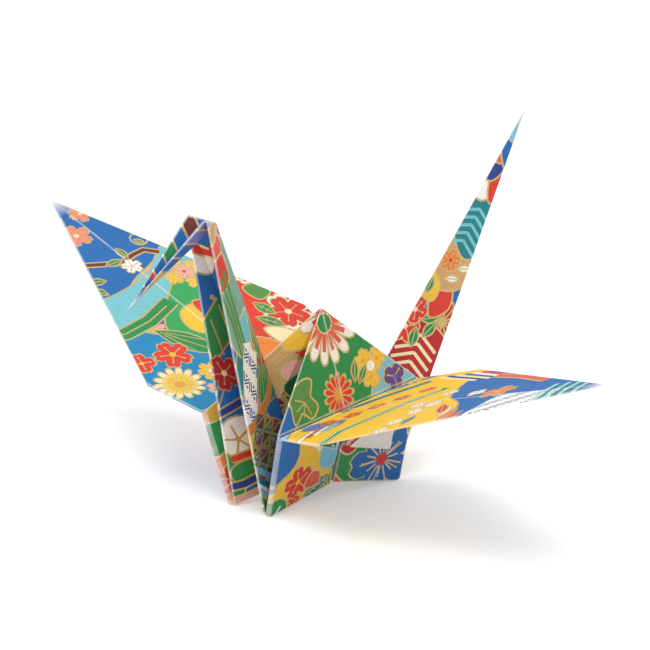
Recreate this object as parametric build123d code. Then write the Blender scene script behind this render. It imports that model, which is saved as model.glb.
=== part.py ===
from build123d import *
import math
import os

# An origami crane folded from one square sheet of patterned paper, in millimetres.
# +X is the way the neck leans, +Y the near wing, +Z up. The crane stands on its four lower corners.

# ---- the sheet ----
sheet_side = 150.0
paper_thickness = 0.10
layer_pitch = 0.14            # from the middle of one layer to the middle of the next in a pressed stack

# ---- the creases ----
narrowing_angle = 11.25       # from a leg's centre line to the crease that narrows it, degrees
neck_fold_spine = 74.5        # from the beak tip to the neck's reverse fold, along the spine
neck_fold_edge = 73.5         # the same along the narrowed edge
tail_fold_spine = 74.5        # from the tail tip to the tail's reverse fold, along the spine
tail_fold_edge = 71.0
head_fold_spine = 22.0        # from the beak tip to the head's reverse fold, along the spine
head_fold_edge = 19.5
floor_reach = 5.0             # width of the layers that turn under the body, at the middle

# ---- the small bends at the creases ----
fold_inset = 0.22             # where a flat face stops, short of its crease
hinge_inset = 0.62            # the same on the body side of a wing's hinge, where four layers turn
tip_reach = 1.2               # the furthest a face stops short of a sharp corner
slit_gap = 0.35               # half the slit between the front and rear halves of a side wall
spine_clearance = 1.6         # the most that a leg's inner layers stop short of its spine
fold_strips = 2               # flat strips across one bend

# ---- the open form: where the corners of the folds stand on a crane of a 150 mm sheet ----
form_sheet = 150.0
apex = (-1.0, 2.0, 33.6)
front_crotch = (-0.5, 0.0, 3.3)
rear_crotch = (-5.2, 0.0, 3.3)
crown = (22.2, 0.0, 51.6)
beak_tip = (41.3, 0.0, 40.2)
tail_tip = (-53.4, 0.0, 60.8)
near_corners = dict(
    front=dict(hinge=(15.0, 9.6, 15.4), foot=(12.8, 5.2, 0.0), elbow=(17.9, 21.2, 17.9),
               brow=(26.4, 2.5, 52.7)),
    rear=dict(hinge=(-19.1, 8.6, 19.1), foot=(-18.4, 5.6, 0.0), elbow=(-21.0, 21.0, 23.3)),
    hinge_middle=(-1.9, 8.3, 16.8), slit_foot=(-2.3, 4.8, 2.7), wing_tip=(1.7, 66.8, 36.1))
far_corners = dict(
    front=dict(hinge=(16.3, -8.4, 16.0), foot=(13.4, -4.0, 0.0), elbow=(18.0, -20.4, 18.4),
               brow=(26.3, -3.0, 52.7)),
    rear=dict(hinge=(-18.5, -8.0, 19.5), foot=(-17.2, -7.4, 0.0), elbow=(-19.0, -19.5, 26.0)),
    hinge_middle=(-1.0, -7.4, 18.0), slit_foot=(-2.0, -5.2, 3.4), wing_tip=(0.3, -65.5, 38.6))

half = sheet_side / 2
form_scale = sheet_side / form_sheet


# ---- small vector helpers ----
def add(a, b, k=1.0):
    """a + k b"""
    return tuple(x + k * y for x, y in zip(a, b))


def sub(a, b):
    return tuple(x - y for x, y in zip(a, b))


def dot(a, b):
    return sum(x * y for x, y in zip(a, b))


def cross(a, b):
    return (a[1] * b[2] - a[2] * b[1], a[2] * b[0] - a[0] * b[2], a[0] * b[1] - a[1] * b[0])


def size(a):
    return math.sqrt(dot(a, a))


def unit(a):
    length = size(a)
    return tuple(x / length for x in a) if length > 1e-12 else a


def between(a, b, share):
    """The point that lies share of the way from a to b."""
    return tuple(x + share * (y - x) for x, y in zip(a, b))


def middle(points):
    return tuple(sum(column) / len(points) for column in zip(*points))


def facing(normal, way):
    """The normal, turned to point the given way."""
    return normal if dot(normal, way) > 0 else tuple(-x for x in normal)


# ---- the creases on the flat sheet: one quarter, the other three are its mirror images ----
def crease_heights():
    """Where the narrowing crease crosses the base's other creases, in half sheets: (across, up the leg)."""
    slope = math.tan(math.radians(narrowing_angle))
    ridge = math.sqrt(2) * slope / (1 + slope)
    edge = 2 * slope * math.tan(math.pi / 8) / (math.tan(math.pi / 8) + slope)
    folded_knee = math.cos(math.radians(22.5 - 2 * narrowing_angle)) / math.cos(math.pi / 8)
    return dict(ridge=(ridge, math.sqrt(2) - ridge), edge=(edge, edge / slope), pivot=(slope, 1.0),
                knee=folded_knee)


heights = crease_heights()
hinge_height = heights["ridge"][1]


def quarter_points(spine, edge, head_spine, head_edge):
    """Crease points of the quarter whose leg tip is (-1, 1), in half sheets."""
    tip, wing, knee = (-1.0, 1.0), (1.0, 1.0), (0.0, 2 - math.sqrt(2))
    pivot = ((2 - math.sqrt(2)) / 2,) * 2
    ridge_x, edge_x = heights["ridge"][0], heights["edge"]
    pivot_reach = math.tan(math.pi / 8)
    out = {"O": (0.0, 0.0), "T": tip, "A": wing, "P": knee, "Q": pivot}
    out["Y"] = between(out["O"], knee, math.sqrt(2) * ridge_x / size(knee))
    out["X"] = between(pivot, knee, heights["pivot"][0] / pivot_reach)
    out["W"] = between(wing, knee, math.hypot(edge_x[0], 2 - edge_x[1]) / size(sub(wing, knee)))
    out["M"] = between(out["O"], wing, (math.sqrt(2) - hinge_height) / math.sqrt(2))
    out["J"] = between(wing, out["O"], (2 - hinge_height) / math.sqrt(2))
    rise = (hinge_height - 1) / (edge_x[1] - 1)
    out["JT"] = between(out["X"], out["W"], rise)
    fall = (edge_x[1] - hinge_height) / (edge_x[1] - heights["knee"])
    out["J2"] = between(out["W"], knee, fall)
    edge_way, leg_way = unit(sub(out["W"], tip)), unit(sub(out["Y"], tip))
    out["JE"] = add(tip, edge_way, hinge_height / math.cos(math.radians(narrowing_angle)))
    knee_way, raw_way, spine_way = unit(sub(knee, tip)), unit(sub(wing, tip)), unit(sub(out["O"], tip))
    out["J3"] = add(tip, raw_way, hinge_height)
    floor = spine - floor_reach / half
    out["R1"], out["R2"] = add(tip, leg_way, edge), add(tip, edge_way, edge)
    out["C"], out["G"], out["N"] = (add(tip, way, spine) for way in (spine_way, knee_way, raw_way))
    out["FG"], out["FN"] = (add(tip, way, floor) for way in (knee_way, raw_way))
    if head_spine:
        out["K1"], out["K2"] = add(tip, leg_way, head_edge), add(tip, edge_way, head_edge)
        across = (spine_way, knee_way, raw_way)
        out["S"], out["HG"], out["HN"] = (add(tip, way, head_spine) for way in across)
    return out


# Each flat face, by its corners. a is the part next to the leg's centre, b the part folded over it.
# A face is split into triangles from its first corner, so that the layers of a stack bend along one line.
body_faces = {
    "leg_a": "O Y R1 C", "leg_b": "Y P G R1",
    "hump_top": "O M Y", "hump_low": "Y M Q X", "hump_b": "Y X P",
    "top_low": "Q J JT X", "top_wing": "J A W JT", "top_b_low": "JT J2 P X", "top_b_wing": "JT W J2",
    "edge_low": "JE J3 N R2", "edge_wing": "J3 JE W A",
    "edge_b_low": "JE R2 G P J2", "edge_b_wing": "W JE J2",
    "leg_b_floor": "R1 G FG", "edge_b_floor": "R2 FG G", "edge_floor": "R2 N FN"}
neck_faces = {
    "leg_a_neck": "C R1 K1 S", "leg_b_neck": "FG HG K1 R1",
    "edge_b_neck": "K2 HG FG R2", "edge_neck": "FN HN K2 R2",
    "leg_a_head": "S K1 T", "leg_b_head": "K1 HG T", "edge_b_head": "K2 T HG", "edge_head": "K2 HN T"}
tail_faces = {
    "leg_a_neck": "C R1 T", "leg_b_neck": "R1 FG T", "edge_b_neck": "R2 T FG", "edge_neck": "R2 FN T"}

# How deep each layer lies in its stack, counted from the outermost.
wall_depth = dict(leg_b=0, hump_b=1, top_b_low=2, edge_b_low=3, edge_low=4, top_low=5, hump_low=6,
                  hump_top=6, leg_a=7)
wing_depth = dict(top_wing=0, edge_wing=1, edge_b_wing=2, top_b_wing=3)
floor_depth = dict(leg_b_floor=0, edge_b_floor=3, edge_floor=4)
neck_depth = dict(leg_a_neck=0, edge_neck=1, edge_b_neck=2, leg_b_neck=3)
head_depth = dict(leg_b_head=4, edge_b_head=5, edge_head=6, leg_a_head=7)


def scaled(place):
    return tuple(form_scale * x for x in place)


foot_depth = 5.5                                  # where the turned-under layers meet the feet
inner_depth = len(set(wall_depth.values()))       # the neck's layers start inside the body's own
least_lean = 0.2                                  # keeps the clearance finite where a leg is almost upright


def quarter_form(corners, end, tip, crotch, head):
    """Where the creases of one quarter stand, before the layers are spread."""
    own = corners[end]
    at = {"O": scaled(apex), "A": scaled(corners["wing_tip"]), "T": scaled(tip), "C": scaled(crotch)}
    at.update(Y=scaled(own["hinge"]), R=scaled(own["foot"]), W=scaled(own["elbow"]))
    at.update(M=scaled(corners["hinge_middle"]), G=scaled(corners["slit_foot"]))
    spine = (neck_fold_spine if head else tail_fold_spine) / half
    edge = (neck_fold_edge if head else tail_fold_edge) / half
    wall = hinge_height - spine
    run = hinge_height / math.cos(math.radians(narrowing_angle)) - edge
    at["X"] = between(at["Y"], at["R"], (hinge_height - 1) / math.cos(math.radians(narrowing_angle)) / run)
    at["Q"] = between(at["M"], at["G"], (hinge_height - 1) / wall)
    at["P"] = between(at["M"], at["G"], (hinge_height - heights["knee"]) / wall)
    fold_share = (hinge_height - heights["knee"]) / heights["ridge"][0]
    at["J2"] = between(at["M"], at["Y"], fold_share)
    if head:
        at.update(K=scaled(own["brow"]), S=scaled(crown))
    return at


def quarter_normals(at, side, head):
    """The way out of each stack of layers."""
    out = (0.0, side, 0.0)
    far_end = at["S"] if head else at["T"]
    ways = dict(wall=facing(unit(cross(sub(at["M"], at["Y"]), sub(at["R"], at["Y"]))), out))
    ways["wing"] = facing(unit(cross(sub(at["A"], at["M"]), sub(at["W"], at["M"]))), (0.0, 0.0, 1.0))
    ways["neck"] = facing(unit(cross(sub(far_end, at["C"]), sub(at["R"], at["C"]))), out)
    ways["floor"] = facing(unit(cross(sub(at["G"], at["R"]), sub(at["C"], at["R"]))), (0.0, 0.0, -1.0))
    if head:
        ways["brow"] = facing(unit(cross(sub(at["T"], at["S"]), sub(at["K"], at["S"]))), out)
        ways["crown"] = unit(add(ways["brow"], ways["neck"]))
    return ways


same_place = dict(JT="Y", JE="Y", J="M", J3="M", R1="R", R2="R", N="G", FG="C", FN="C", K1="K", K2="K",
                  HG="S", HN="S")
slit_points = ("P", "G", "N", "J3", "J2")
spine_points = ("FG", "FN", "HG", "HN")


def place_corner(face, point, at, ways):
    """Where one corner of one flat face stands, with its layer's depth."""
    key = same_place.get(point, point)
    place = at[key]
    if point in slit_points:
        place = add(place, unit(sub(at["Y"], at["M"])), slit_gap)
    if point in ("O", "T") or (face.startswith("leg_a") and point in ("C", "S")):
        return place
    if face in wing_depth:
        return add(place, ways["wing"], -layer_pitch * wing_depth[face])
    if face in wall_depth:
        return add(place, ways["wall"], -layer_pitch * wall_depth[face])
    if face in floor_depth:
        depth = layer_pitch * floor_depth[face]
        if key == "R":
            return add(place, ways["wall"], -layer_pitch * foot_depth)
        place = add(place, ways["floor"], -depth)
        return add(place, ways["wall"], -depth) if key == "G" else from_spine(place, at, ways["neck"], 3)
    depth = neck_depth.get(face, head_depth.get(face))
    if key == "R":
        return add(place, ways["wall"], -layer_pitch * (inner_depth + depth))
    if key == "K":
        return add(place, ways["crown"], -layer_pitch * depth)
    if face in head_depth:
        inner = max(head_depth.values())
        return add(from_spine(place, at, ways["brow"], 0), ways["brow"], layer_pitch * (inner - depth))
    return from_spine(place, at, ways["neck"], depth)


def from_spine(place, at, way, depth):
    """A layer's end beside the spine, clear of the layers of the other side."""
    edge = at["K"] if place is at.get("S") else at["R"]
    across = unit(sub(edge, place))
    lean = max(abs(across[1]), least_lean)
    inward = add(place, way, -layer_pitch * depth)
    clear = layer_pitch * (max(neck_depth.values()) + 0.5) if depth else 0.0
    return add(inward, across, min(clear / lean, spine_clearance))


# ---- the whole sheet ----
def key_of(point):
    return tuple(round(x, 6) + 0.0 for x in point)


def turned(point, quarter):
    x, y = point
    return {"near front": (x, y), "near rear": (y, x), "far front": (-y, -x), "far rear": (-x, -y)}[quarter]


def signed_area(points):
    return sum(a[0] * b[1] - b[0] * a[1] for a, b in zip(points, points[1:] + points[:1])) / 2


def sheet_faces():
    """Every flat face: its name, corners on the sheet (mm, anticlockwise) and their places in space."""
    faces = []
    for side, corners, name in ((1.0, near_corners, "near"), (-1.0, far_corners, "far")):
        for end in ("front", "rear"):
            head = end == "front"
            spine, edge = (neck_fold_spine, neck_fold_edge) if head else (tail_fold_spine, tail_fold_edge)
            head_spine, head_edge = (head_fold_spine / half, head_fold_edge / half) if head else (0.0, 0.0)
            flat = quarter_points(spine / half, edge / half, head_spine, head_edge)
            tip, crotch = (beak_tip, front_crotch) if head else (tail_tip, rear_crotch)
            at = quarter_form(corners, end, tip, crotch, head)
            ways = quarter_normals(at, side, head)
            for face, listed in {**body_faces, **(neck_faces if head else tail_faces)}.items():
                points = listed.split()
                sheet = [key_of(tuple(half * x for x in turned(flat[p], f"{name} {end}"))) for p in points]
                space = [place_corner(face, p, at, ways) for p in points]
                if signed_area(sheet) < 0:
                    sheet[1:] = sheet[:0:-1]
                    space[1:] = space[:0:-1]
                faces.append((face, sheet, space))
    return faces


def shared_places(faces):
    """Corners that two halves of one face share stand in the middle of their two places."""
    spots = {}
    for name, sheet, space in faces:
        for flat, place in zip(sheet, space):
            spots.setdefault((name, flat), []).append(place)
    return [(name, sheet, [middle(spots[(name, flat)]) for flat in sheet]) for name, sheet, _ in faces]


def inset_corner(sheet, insets, i):
    """The corner of a face, moved in from its two edges, on the sheet."""
    here, back, ahead = sheet[i], sheet[i - 1], sheet[(i + 1) % len(sheet)]
    into, out = unit(sub(here, back)), unit(sub(ahead, here))
    turn = into[0] * out[1] - into[1] * out[0]
    if abs(turn) < 1e-6:
        return add(here, (-out[1], out[0]), insets[i])
    move = add(tuple(x * insets[i - 1] / turn for x in out), into, -insets[i] / turn)
    reach = size(move)
    return add(here, move, min(1.0, tip_reach / reach) if reach else 1.0)


def mapped(point, sheet, space, i):
    """A point of the sheet near corner i, placed in space with that corner and its neighbours."""
    here, back, ahead = sheet[i], sheet[i - 1], sheet[(i + 1) % len(sheet)]
    e, f, d = sub(ahead, here), sub(back, here), sub(point, here)
    turn = e[0] * f[1] - e[1] * f[0]
    if abs(turn) < 1e-6:
        back = sheet[i - 2]
        f = sub(back, here)
        turn = e[0] * f[1] - e[1] * f[0]
        space_f = sub(space[i - 2], space[i])
    else:
        space_f = sub(space[i - 1], space[i])
    a, b = (d[0] * f[1] - d[1] * f[0]) / turn, (e[0] * d[1] - e[1] * d[0]) / turn
    return add(add(space[i], sub(space[(i + 1) % len(sheet)], space[i]), a), space_f, b)


def bend(start, leave, end, arrive):
    """Points inside the bend from one face to the next: a round arc that meets both faces smoothly."""
    chord = size(sub(end, start))
    turn = math.acos(max(-1.0, min(1.0, dot(leave, arrive))))
    pull = chord / 3
    if turn > 0.05:
        pull = min(4 / 3 * math.tan(turn / 4) * chord / (2 * math.sin(turn / 2)), chord)
    first, second = add(start, leave, pull), add(end, arrive, -pull)
    points = []
    for step in range(1, fold_strips):
        t = step / fold_strips
        weights = ((1 - t) ** 3, 3 * t * (1 - t) ** 2, 3 * t * t * (1 - t), t ** 3)
        corners = (start, first, second, end)
        points.append(tuple(sum(w * c[axis] for w, c in zip(weights, corners)) for axis in range(3)))
    return points


def sheet_mesh(faces):
    """Middle surface of the sheet: points and triangles, with a small bend at each crease."""
    edges = {}
    for number, (name, sheet, space) in enumerate(faces):
        for i, flat in enumerate(sheet):
            edges.setdefault(frozenset((flat, sheet[(i + 1) % len(sheet)])), []).append((number, i))
    points, triangles, corner, leaving = [], [], {}, {}

    def new_point(place):
        points.append(place)
        return len(points) - 1

    for number, (name, sheet, space) in enumerate(faces):
        insets = []
        for i, flat in enumerate(sheet):
            pair = edges[frozenset((flat, sheet[(i + 1) % len(sheet)]))]
            other = [faces[n][0] for n, _ in pair if n != number]
            at_hinge = bool(other) and other[0].endswith("_wing") and not name.endswith("_wing")
            insets.append(0.0 if len(pair) == 1 else hinge_inset if at_hinge else fold_inset)
        for i, flat in enumerate(sheet):
            spot = inset_corner(sheet, insets, i)
            place = mapped(spot, sheet, space, i)
            corner[number, flat] = new_point(place)
            for j in (i - 1, i):
                a, b = sheet[j], sheet[(j + 1) % len(sheet)]
                way = unit(sub(b, a))
                foot = add(a, way, dot(sub(spot, a), way))
                if size(sub(foot, spot)) > 1e-9:
                    other_end = b if a == flat else a
                    leaving[number, flat, other_end] = unit(sub(mapped(foot, sheet, space, i), place))
        for i in range(1, len(sheet) - 1):
            triangles.append(tuple(corner[number, sheet[k]] for k in (0, i, i + 1)))
    rows = {}
    for edge, pair in edges.items():
        if len(pair) < 2:
            continue
        (one, i), (two, _) = pair
        a, b = faces[one][1][i], faces[one][1][(i + 1) % len(faces[one][1])]
        for here, there in ((a, b), (b, a)):
            start, end = points[corner[one, here]], points[corner[two, here]]
            arrive = tuple(-x for x in leaving[two, here, there])
            inner = [new_point(p) for p in bend(start, leaving[one, here, there], end, arrive)]
            rows[here, one, two] = [corner[one, here], *inner, corner[two, here]]
            rows[here, two, one] = rows[here, one, two][::-1]
        for k in range(fold_strips):
            p, q = rows[a, one, two][k], rows[b, one, two][k]
            r, s = rows[b, one, two][k + 1], rows[a, one, two][k + 1]
            triangles += [(p, s, r), (p, r, q)]
    used = {(t[i], t[(i + 1) % 3]) for t in triangles for i in range(3)}
    around = {}
    for (here, one, two) in rows:
        around.setdefault(here, {}).setdefault(one, []).append(two)
    for here, links in around.items():
        if len(links) < 3:
            continue
        ring = vertex_ring(here, links, faces)
        loop = []
        for one, two in zip(ring, ring[1:]):
            loop += rows[here, one, two][:-1]
        closed = len(links[ring[0]]) > 1
        if not closed:
            loop.append(corner[ring[-1], here])
        hub = new_point(hub_place(here, ring, faces, [points[k] for k in loop], closed))
        pairs = zip(loop, loop[1:] + loop[:1]) if closed else zip(loop, loop[1:])
        triangles += [(hub, q, p) if (p, q) in used else (hub, p, q) for p, q in pairs]
    return points, triangles


def vertex_ring(here, links, faces):
    """The faces round a corner of the creases, in order. A closed ring ends with its first face again."""
    def spin(number):
        centre = middle([tuple(p) for p in faces[number][1]])
        return math.atan2(centre[1] - here[1], centre[0] - here[0])

    ends = [n for n, others in links.items() if len(others) == 1]
    start = ends[0] if ends else next(iter(links))
    ring = [start]
    while True:
        choices = [n for n in links[ring[-1]] if len(ring) < 2 or n != ring[-2]]
        if not choices:
            break
        if len(ring) == 1 and len(choices) > 1:
            choices.sort(key=lambda n: (spin(n) - spin(start)) % (2 * math.pi))
        ring.append(choices[0])
        if ring[-1] == start:
            break
    if ends and len(ring) > 1:
        turn = (spin(ring[1]) - spin(ring[0])) % (2 * math.pi)
        if turn > math.pi:
            ring.reverse()
    return ring


def hub_place(here, ring, faces, loop, closed):
    """Where the point of a corner stands: amid its ring, or at the sharp tip of the sheet."""
    if closed:
        return middle(loop)
    places = [faces[n][2][faces[n][1].index(here)] for n in ring]
    return middle(places)


def thickened(points, triangles):
    """A closed skin round the middle surface, half a thickness to each side."""
    normals = [(0.0, 0.0, 0.0)] * len(points)
    for a, b, c in triangles:
        spread = cross(sub(points[b], points[a]), sub(points[c], points[a]))
        for k in (a, b, c):
            normals[k] = add(normals[k], spread)
    upper = [add(p, unit(n), paper_thickness / 2) for p, n in zip(points, normals)]
    lower = [add(p, unit(n), -paper_thickness / 2) for p, n in zip(points, normals)]
    count = len(points)
    skin = list(triangles) + [(c + count, b + count, a + count) for a, b, c in triangles]
    directed = {(t[i], t[(i + 1) % 3]) for t in triangles for i in range(3)}
    for a, b in directed:
        if (b, a) not in directed:
            skin += [(b, a, a + count), (b, a + count, b + count)]
    return upper + lower, skin


def solid_of(points, triangles):
    """One closed solid of flat triangles."""
    faces = [Face(Wire.make_polygon([Vector(*points[k]) for k in t], close=True)) for t in triangles]
    return Solid(Shell(faces))


def folded_sheet():
    faces = shared_places(sheet_faces())
    points, triangles = sheet_mesh(faces)
    points, triangles = thickened(points, triangles)
    low = min(p[2] for p in points)
    centre = [(min(p[i] for p in points) + max(p[i] for p in points)) / 2 for i in (0, 1)]
    points = [(p[0] - centre[0], p[1] - centre[1], p[2] - low) for p in points]
    return points, triangles


def main():
    os.makedirs("parts", exist_ok=True)
    points, triangles = folded_sheet()
    print(len(points), "points", len(triangles), "triangles")
    crane = solid_of(points, triangles)
    crane.label = "folded_sheet"
    print("valid", crane.is_valid, "volume", round(crane.volume, 1), "size", crane.bounding_box().size)
    export_step(crane, "parts/folded_sheet.step")


main()
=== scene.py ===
# %% [markdown]
# # An origami crane of printed washi
# The real crane is one square of washi, 15 cm on a side, folded into the bird base and then into
# neck, tail, head and wings. Nothing is cut or glued. One side carries a bright chiyogami print with
# thin gold outlines, and the other side is left white.
#
# The crane could be modelled as a few thick plates, but then its edges would not show the layers of a
# real fold. Here the flat sheet and its creases come first, each flat face between creases is placed
# in space, and the print is laid out on the flat sheet, as the printer did it, and folded along with
# the paper.

# %% Load the frame
import math
import random

import bpy
import mathutils
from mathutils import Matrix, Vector


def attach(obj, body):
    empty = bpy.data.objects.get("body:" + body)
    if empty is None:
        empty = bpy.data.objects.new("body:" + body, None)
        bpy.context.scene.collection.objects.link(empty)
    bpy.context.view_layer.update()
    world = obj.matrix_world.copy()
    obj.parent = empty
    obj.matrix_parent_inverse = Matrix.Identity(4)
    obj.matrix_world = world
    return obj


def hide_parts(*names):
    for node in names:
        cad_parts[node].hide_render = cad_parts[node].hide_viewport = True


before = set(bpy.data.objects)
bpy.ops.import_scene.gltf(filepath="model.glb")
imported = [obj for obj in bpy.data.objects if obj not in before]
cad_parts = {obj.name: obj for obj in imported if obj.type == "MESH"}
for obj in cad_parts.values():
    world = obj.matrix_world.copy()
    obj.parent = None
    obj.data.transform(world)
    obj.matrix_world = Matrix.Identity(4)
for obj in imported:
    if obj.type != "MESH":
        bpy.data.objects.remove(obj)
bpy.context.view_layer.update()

# %% [markdown]
# ## The sheet and its creases
# These are the sizes that a folder sets by hand: how far from the tip the neck and tail are bent up,
# and how far along the neck the head is bent down. They are the same as in the CAD model, in
# millimetres, because the two have to lie in the same place.

# %% Sizes of the sheet and its folds
# the sheet
sheet_side = 150.0
paper_thickness = 0.10
layer_pitch = 0.14            # from the middle of one layer to the middle of the next in a pressed stack

# the creases
narrowing_angle = 11.25       # from a leg's centre line to the crease that narrows it, degrees
neck_fold_spine = 74.5        # from the beak tip to the neck's reverse fold, along the spine
neck_fold_edge = 73.5         # the same along the narrowed edge
tail_fold_spine = 74.5        # from the tail tip to the tail's reverse fold, along the spine
tail_fold_edge = 71.0
head_fold_spine = 22.0        # from the beak tip to the head's reverse fold, along the spine
head_fold_edge = 19.5
floor_reach = 5.0             # width of the layers that turn under the body, at the middle

# the small bends at the creases
fold_inset = 0.22             # where a flat face stops, short of its crease
hinge_inset = 0.62            # the same on the body side of a wing's hinge, where four layers turn
tip_reach = 1.2               # the furthest a face stops short of a sharp corner
slit_gap = 0.35               # half the slit between the front and rear halves of a side wall
spine_clearance = 1.6         # the most that a leg's inner layers stop short of its spine
fold_strips = 4               # flat strips across one bend

# %% [markdown]
# ## The open form
# A folded crane is never quite even, so each corner of the open form is given by itself, for the near
# side and the far side. All are for a 15 cm sheet and scale with it.

# %% Corners of the open form
form_sheet = 150.0
apex = (-1.0, 2.0, 33.6)
front_crotch = (-0.5, 0.0, 3.3)
rear_crotch = (-5.2, 0.0, 3.3)
crown = (22.2, 0.0, 51.6)
beak_tip = (41.3, 0.0, 40.2)
tail_tip = (-53.4, 0.0, 60.8)
near_corners = dict(
    front=dict(hinge=(15.0, 9.6, 15.4), foot=(12.8, 5.2, 0.0), elbow=(17.9, 21.2, 17.9),
               brow=(26.4, 2.5, 52.7)),
    rear=dict(hinge=(-19.1, 8.6, 19.1), foot=(-18.4, 5.6, 0.0), elbow=(-21.0, 21.0, 23.3)),
    hinge_middle=(-1.9, 8.3, 16.8), slit_foot=(-2.3, 4.8, 2.7), wing_tip=(1.7, 66.8, 36.1))
far_corners = dict(
    front=dict(hinge=(16.3, -8.4, 16.0), foot=(13.4, -4.0, 0.0), elbow=(18.0, -20.4, 18.4),
               brow=(26.3, -3.0, 52.7)),
    rear=dict(hinge=(-18.5, -8.0, 19.5), foot=(-17.2, -7.4, 0.0), elbow=(-19.0, -19.5, 26.0)),
    hinge_middle=(-1.0, -7.4, 18.0), slit_foot=(-2.0, -5.2, 3.4), wing_tip=(0.3, -65.5, 38.6))

half = sheet_side / 2
form_scale = sheet_side / form_sheet

# %% Vector helpers
def add(a, b, k=1.0):
    """a + k b"""
    return tuple(x + k * y for x, y in zip(a, b))


def sub(a, b):
    return tuple(x - y for x, y in zip(a, b))


def dot(a, b):
    return sum(x * y for x, y in zip(a, b))


def cross(a, b):
    return (a[1] * b[2] - a[2] * b[1], a[2] * b[0] - a[0] * b[2], a[0] * b[1] - a[1] * b[0])


def size(a):
    return math.sqrt(dot(a, a))


def unit(a):
    length = size(a)
    return tuple(x / length for x in a) if length > 1e-12 else a


def between(a, b, share):
    """The point that lies share of the way from a to b."""
    return tuple(x + share * (y - x) for x, y in zip(a, b))


def middle(points):
    return tuple(sum(column) / len(points) for column in zip(*points))


def facing(normal, way):
    """The normal, turned to point the given way."""
    return normal if dot(normal, way) > 0 else tuple(-x for x in normal)


# %% [markdown]
# ## The creases on the flat sheet
# A crane's crease pattern is one quarter, repeated as its own mirror image. The places where the
# creases cross follow from the folding angles, so they are worked out here, not measured.

# %% Where the narrowing crease crosses the others
def crease_heights():
    """Where the narrowing crease crosses the base's other creases, in half sheets (across, up)."""
    slope = math.tan(math.radians(narrowing_angle))
    ridge = math.sqrt(2) * slope / (1 + slope)
    edge = 2 * slope * math.tan(math.pi / 8) / (math.tan(math.pi / 8) + slope)
    folded_knee = math.cos(math.radians(22.5 - 2 * narrowing_angle)) / math.cos(math.pi / 8)
    return dict(ridge=(ridge, math.sqrt(2) - ridge), edge=(edge, edge / slope), pivot=(slope, 1.0),
                knee=folded_knee)


heights = crease_heights()
hinge_height = heights["ridge"][1]
print("wing hinge", round(hinge_height * half, 2), "mm from the leg tip, along the leg")


# %% Crease points of one quarter
def quarter_points(spine, edge, head_spine, head_edge):
    """Crease points of the quarter whose leg tip is (-1, 1), in half sheets."""
    tip, wing, knee = (-1.0, 1.0), (1.0, 1.0), (0.0, 2 - math.sqrt(2))
    pivot = ((2 - math.sqrt(2)) / 2,) * 2
    ridge_x, edge_x = heights["ridge"][0], heights["edge"]
    pivot_reach = math.tan(math.pi / 8)
    out = {"O": (0.0, 0.0), "T": tip, "A": wing, "P": knee, "Q": pivot}
    out["Y"] = between(out["O"], knee, math.sqrt(2) * ridge_x / size(knee))
    out["X"] = between(pivot, knee, heights["pivot"][0] / pivot_reach)
    out["W"] = between(wing, knee, math.hypot(edge_x[0], 2 - edge_x[1]) / size(sub(wing, knee)))
    out["M"] = between(out["O"], wing, (math.sqrt(2) - hinge_height) / math.sqrt(2))
    out["J"] = between(wing, out["O"], (2 - hinge_height) / math.sqrt(2))
    rise = (hinge_height - 1) / (edge_x[1] - 1)
    out["JT"] = between(out["X"], out["W"], rise)
    fall = (edge_x[1] - hinge_height) / (edge_x[1] - heights["knee"])
    out["J2"] = between(out["W"], knee, fall)
    edge_way, leg_way = unit(sub(out["W"], tip)), unit(sub(out["Y"], tip))
    out["JE"] = add(tip, edge_way, hinge_height / math.cos(math.radians(narrowing_angle)))
    knee_way, raw_way, spine_way = unit(sub(knee, tip)), unit(sub(wing, tip)), unit(sub(out["O"], tip))
    out["J3"] = add(tip, raw_way, hinge_height)
    floor = spine - floor_reach / half
    out["R1"], out["R2"] = add(tip, leg_way, edge), add(tip, edge_way, edge)
    out["C"], out["G"], out["N"] = (add(tip, way, spine) for way in (spine_way, knee_way, raw_way))
    out["FG"], out["FN"] = (add(tip, way, floor) for way in (knee_way, raw_way))
    if head_spine:
        out["K1"], out["K2"] = add(tip, leg_way, head_edge), add(tip, edge_way, head_edge)
        across = (spine_way, knee_way, raw_way)
        out["S"], out["HG"], out["HN"] = (add(tip, way, head_spine) for way in across)
    return out


# %% [markdown]
# ## The flat faces and their layers
# Between the creases the paper stays flat. Each flat face is a list of crease points, and each stack
# of faces has an order, from the outermost to the innermost layer. A wall of the body is eight layers
# thick, the neck and a wing are four.

# %% Faces and layer order
# Each flat face, by its corners. a is the part next to the leg's centre, b the part folded over it.
# A face is split from its first corner, so that the layers of a stack bend along one line.
body_faces = {
    "leg_a": "O Y R1 C", "leg_b": "Y P G R1", "hump_top": "O M Y", "hump_low": "Y M Q X",
    "hump_b": "Y X P",
    "top_low": "Q J JT X", "top_wing": "J A W JT", "top_b_low": "JT J2 P X", "top_b_wing": "JT W J2",
    "edge_low": "JE J3 N R2", "edge_wing": "J3 JE W A", "edge_b_low": "JE R2 G P J2",
    "edge_b_wing": "W JE J2",
    "leg_b_floor": "R1 G FG", "edge_b_floor": "R2 FG G", "edge_floor": "R2 N FN"}
neck_faces = {
    "leg_a_neck": "C R1 K1 S", "leg_b_neck": "FG HG K1 R1", "edge_b_neck": "K2 HG FG R2",
    "edge_neck": "FN HN K2 R2", "leg_a_head": "S K1 T", "leg_b_head": "K1 HG T",
    "edge_b_head": "K2 T HG",
    "edge_head": "K2 HN T"}
tail_faces = {"leg_a_neck": "C R1 T", "leg_b_neck": "R1 FG T", "edge_b_neck": "R2 T FG",
              "edge_neck": "R2 FN T"}

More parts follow.
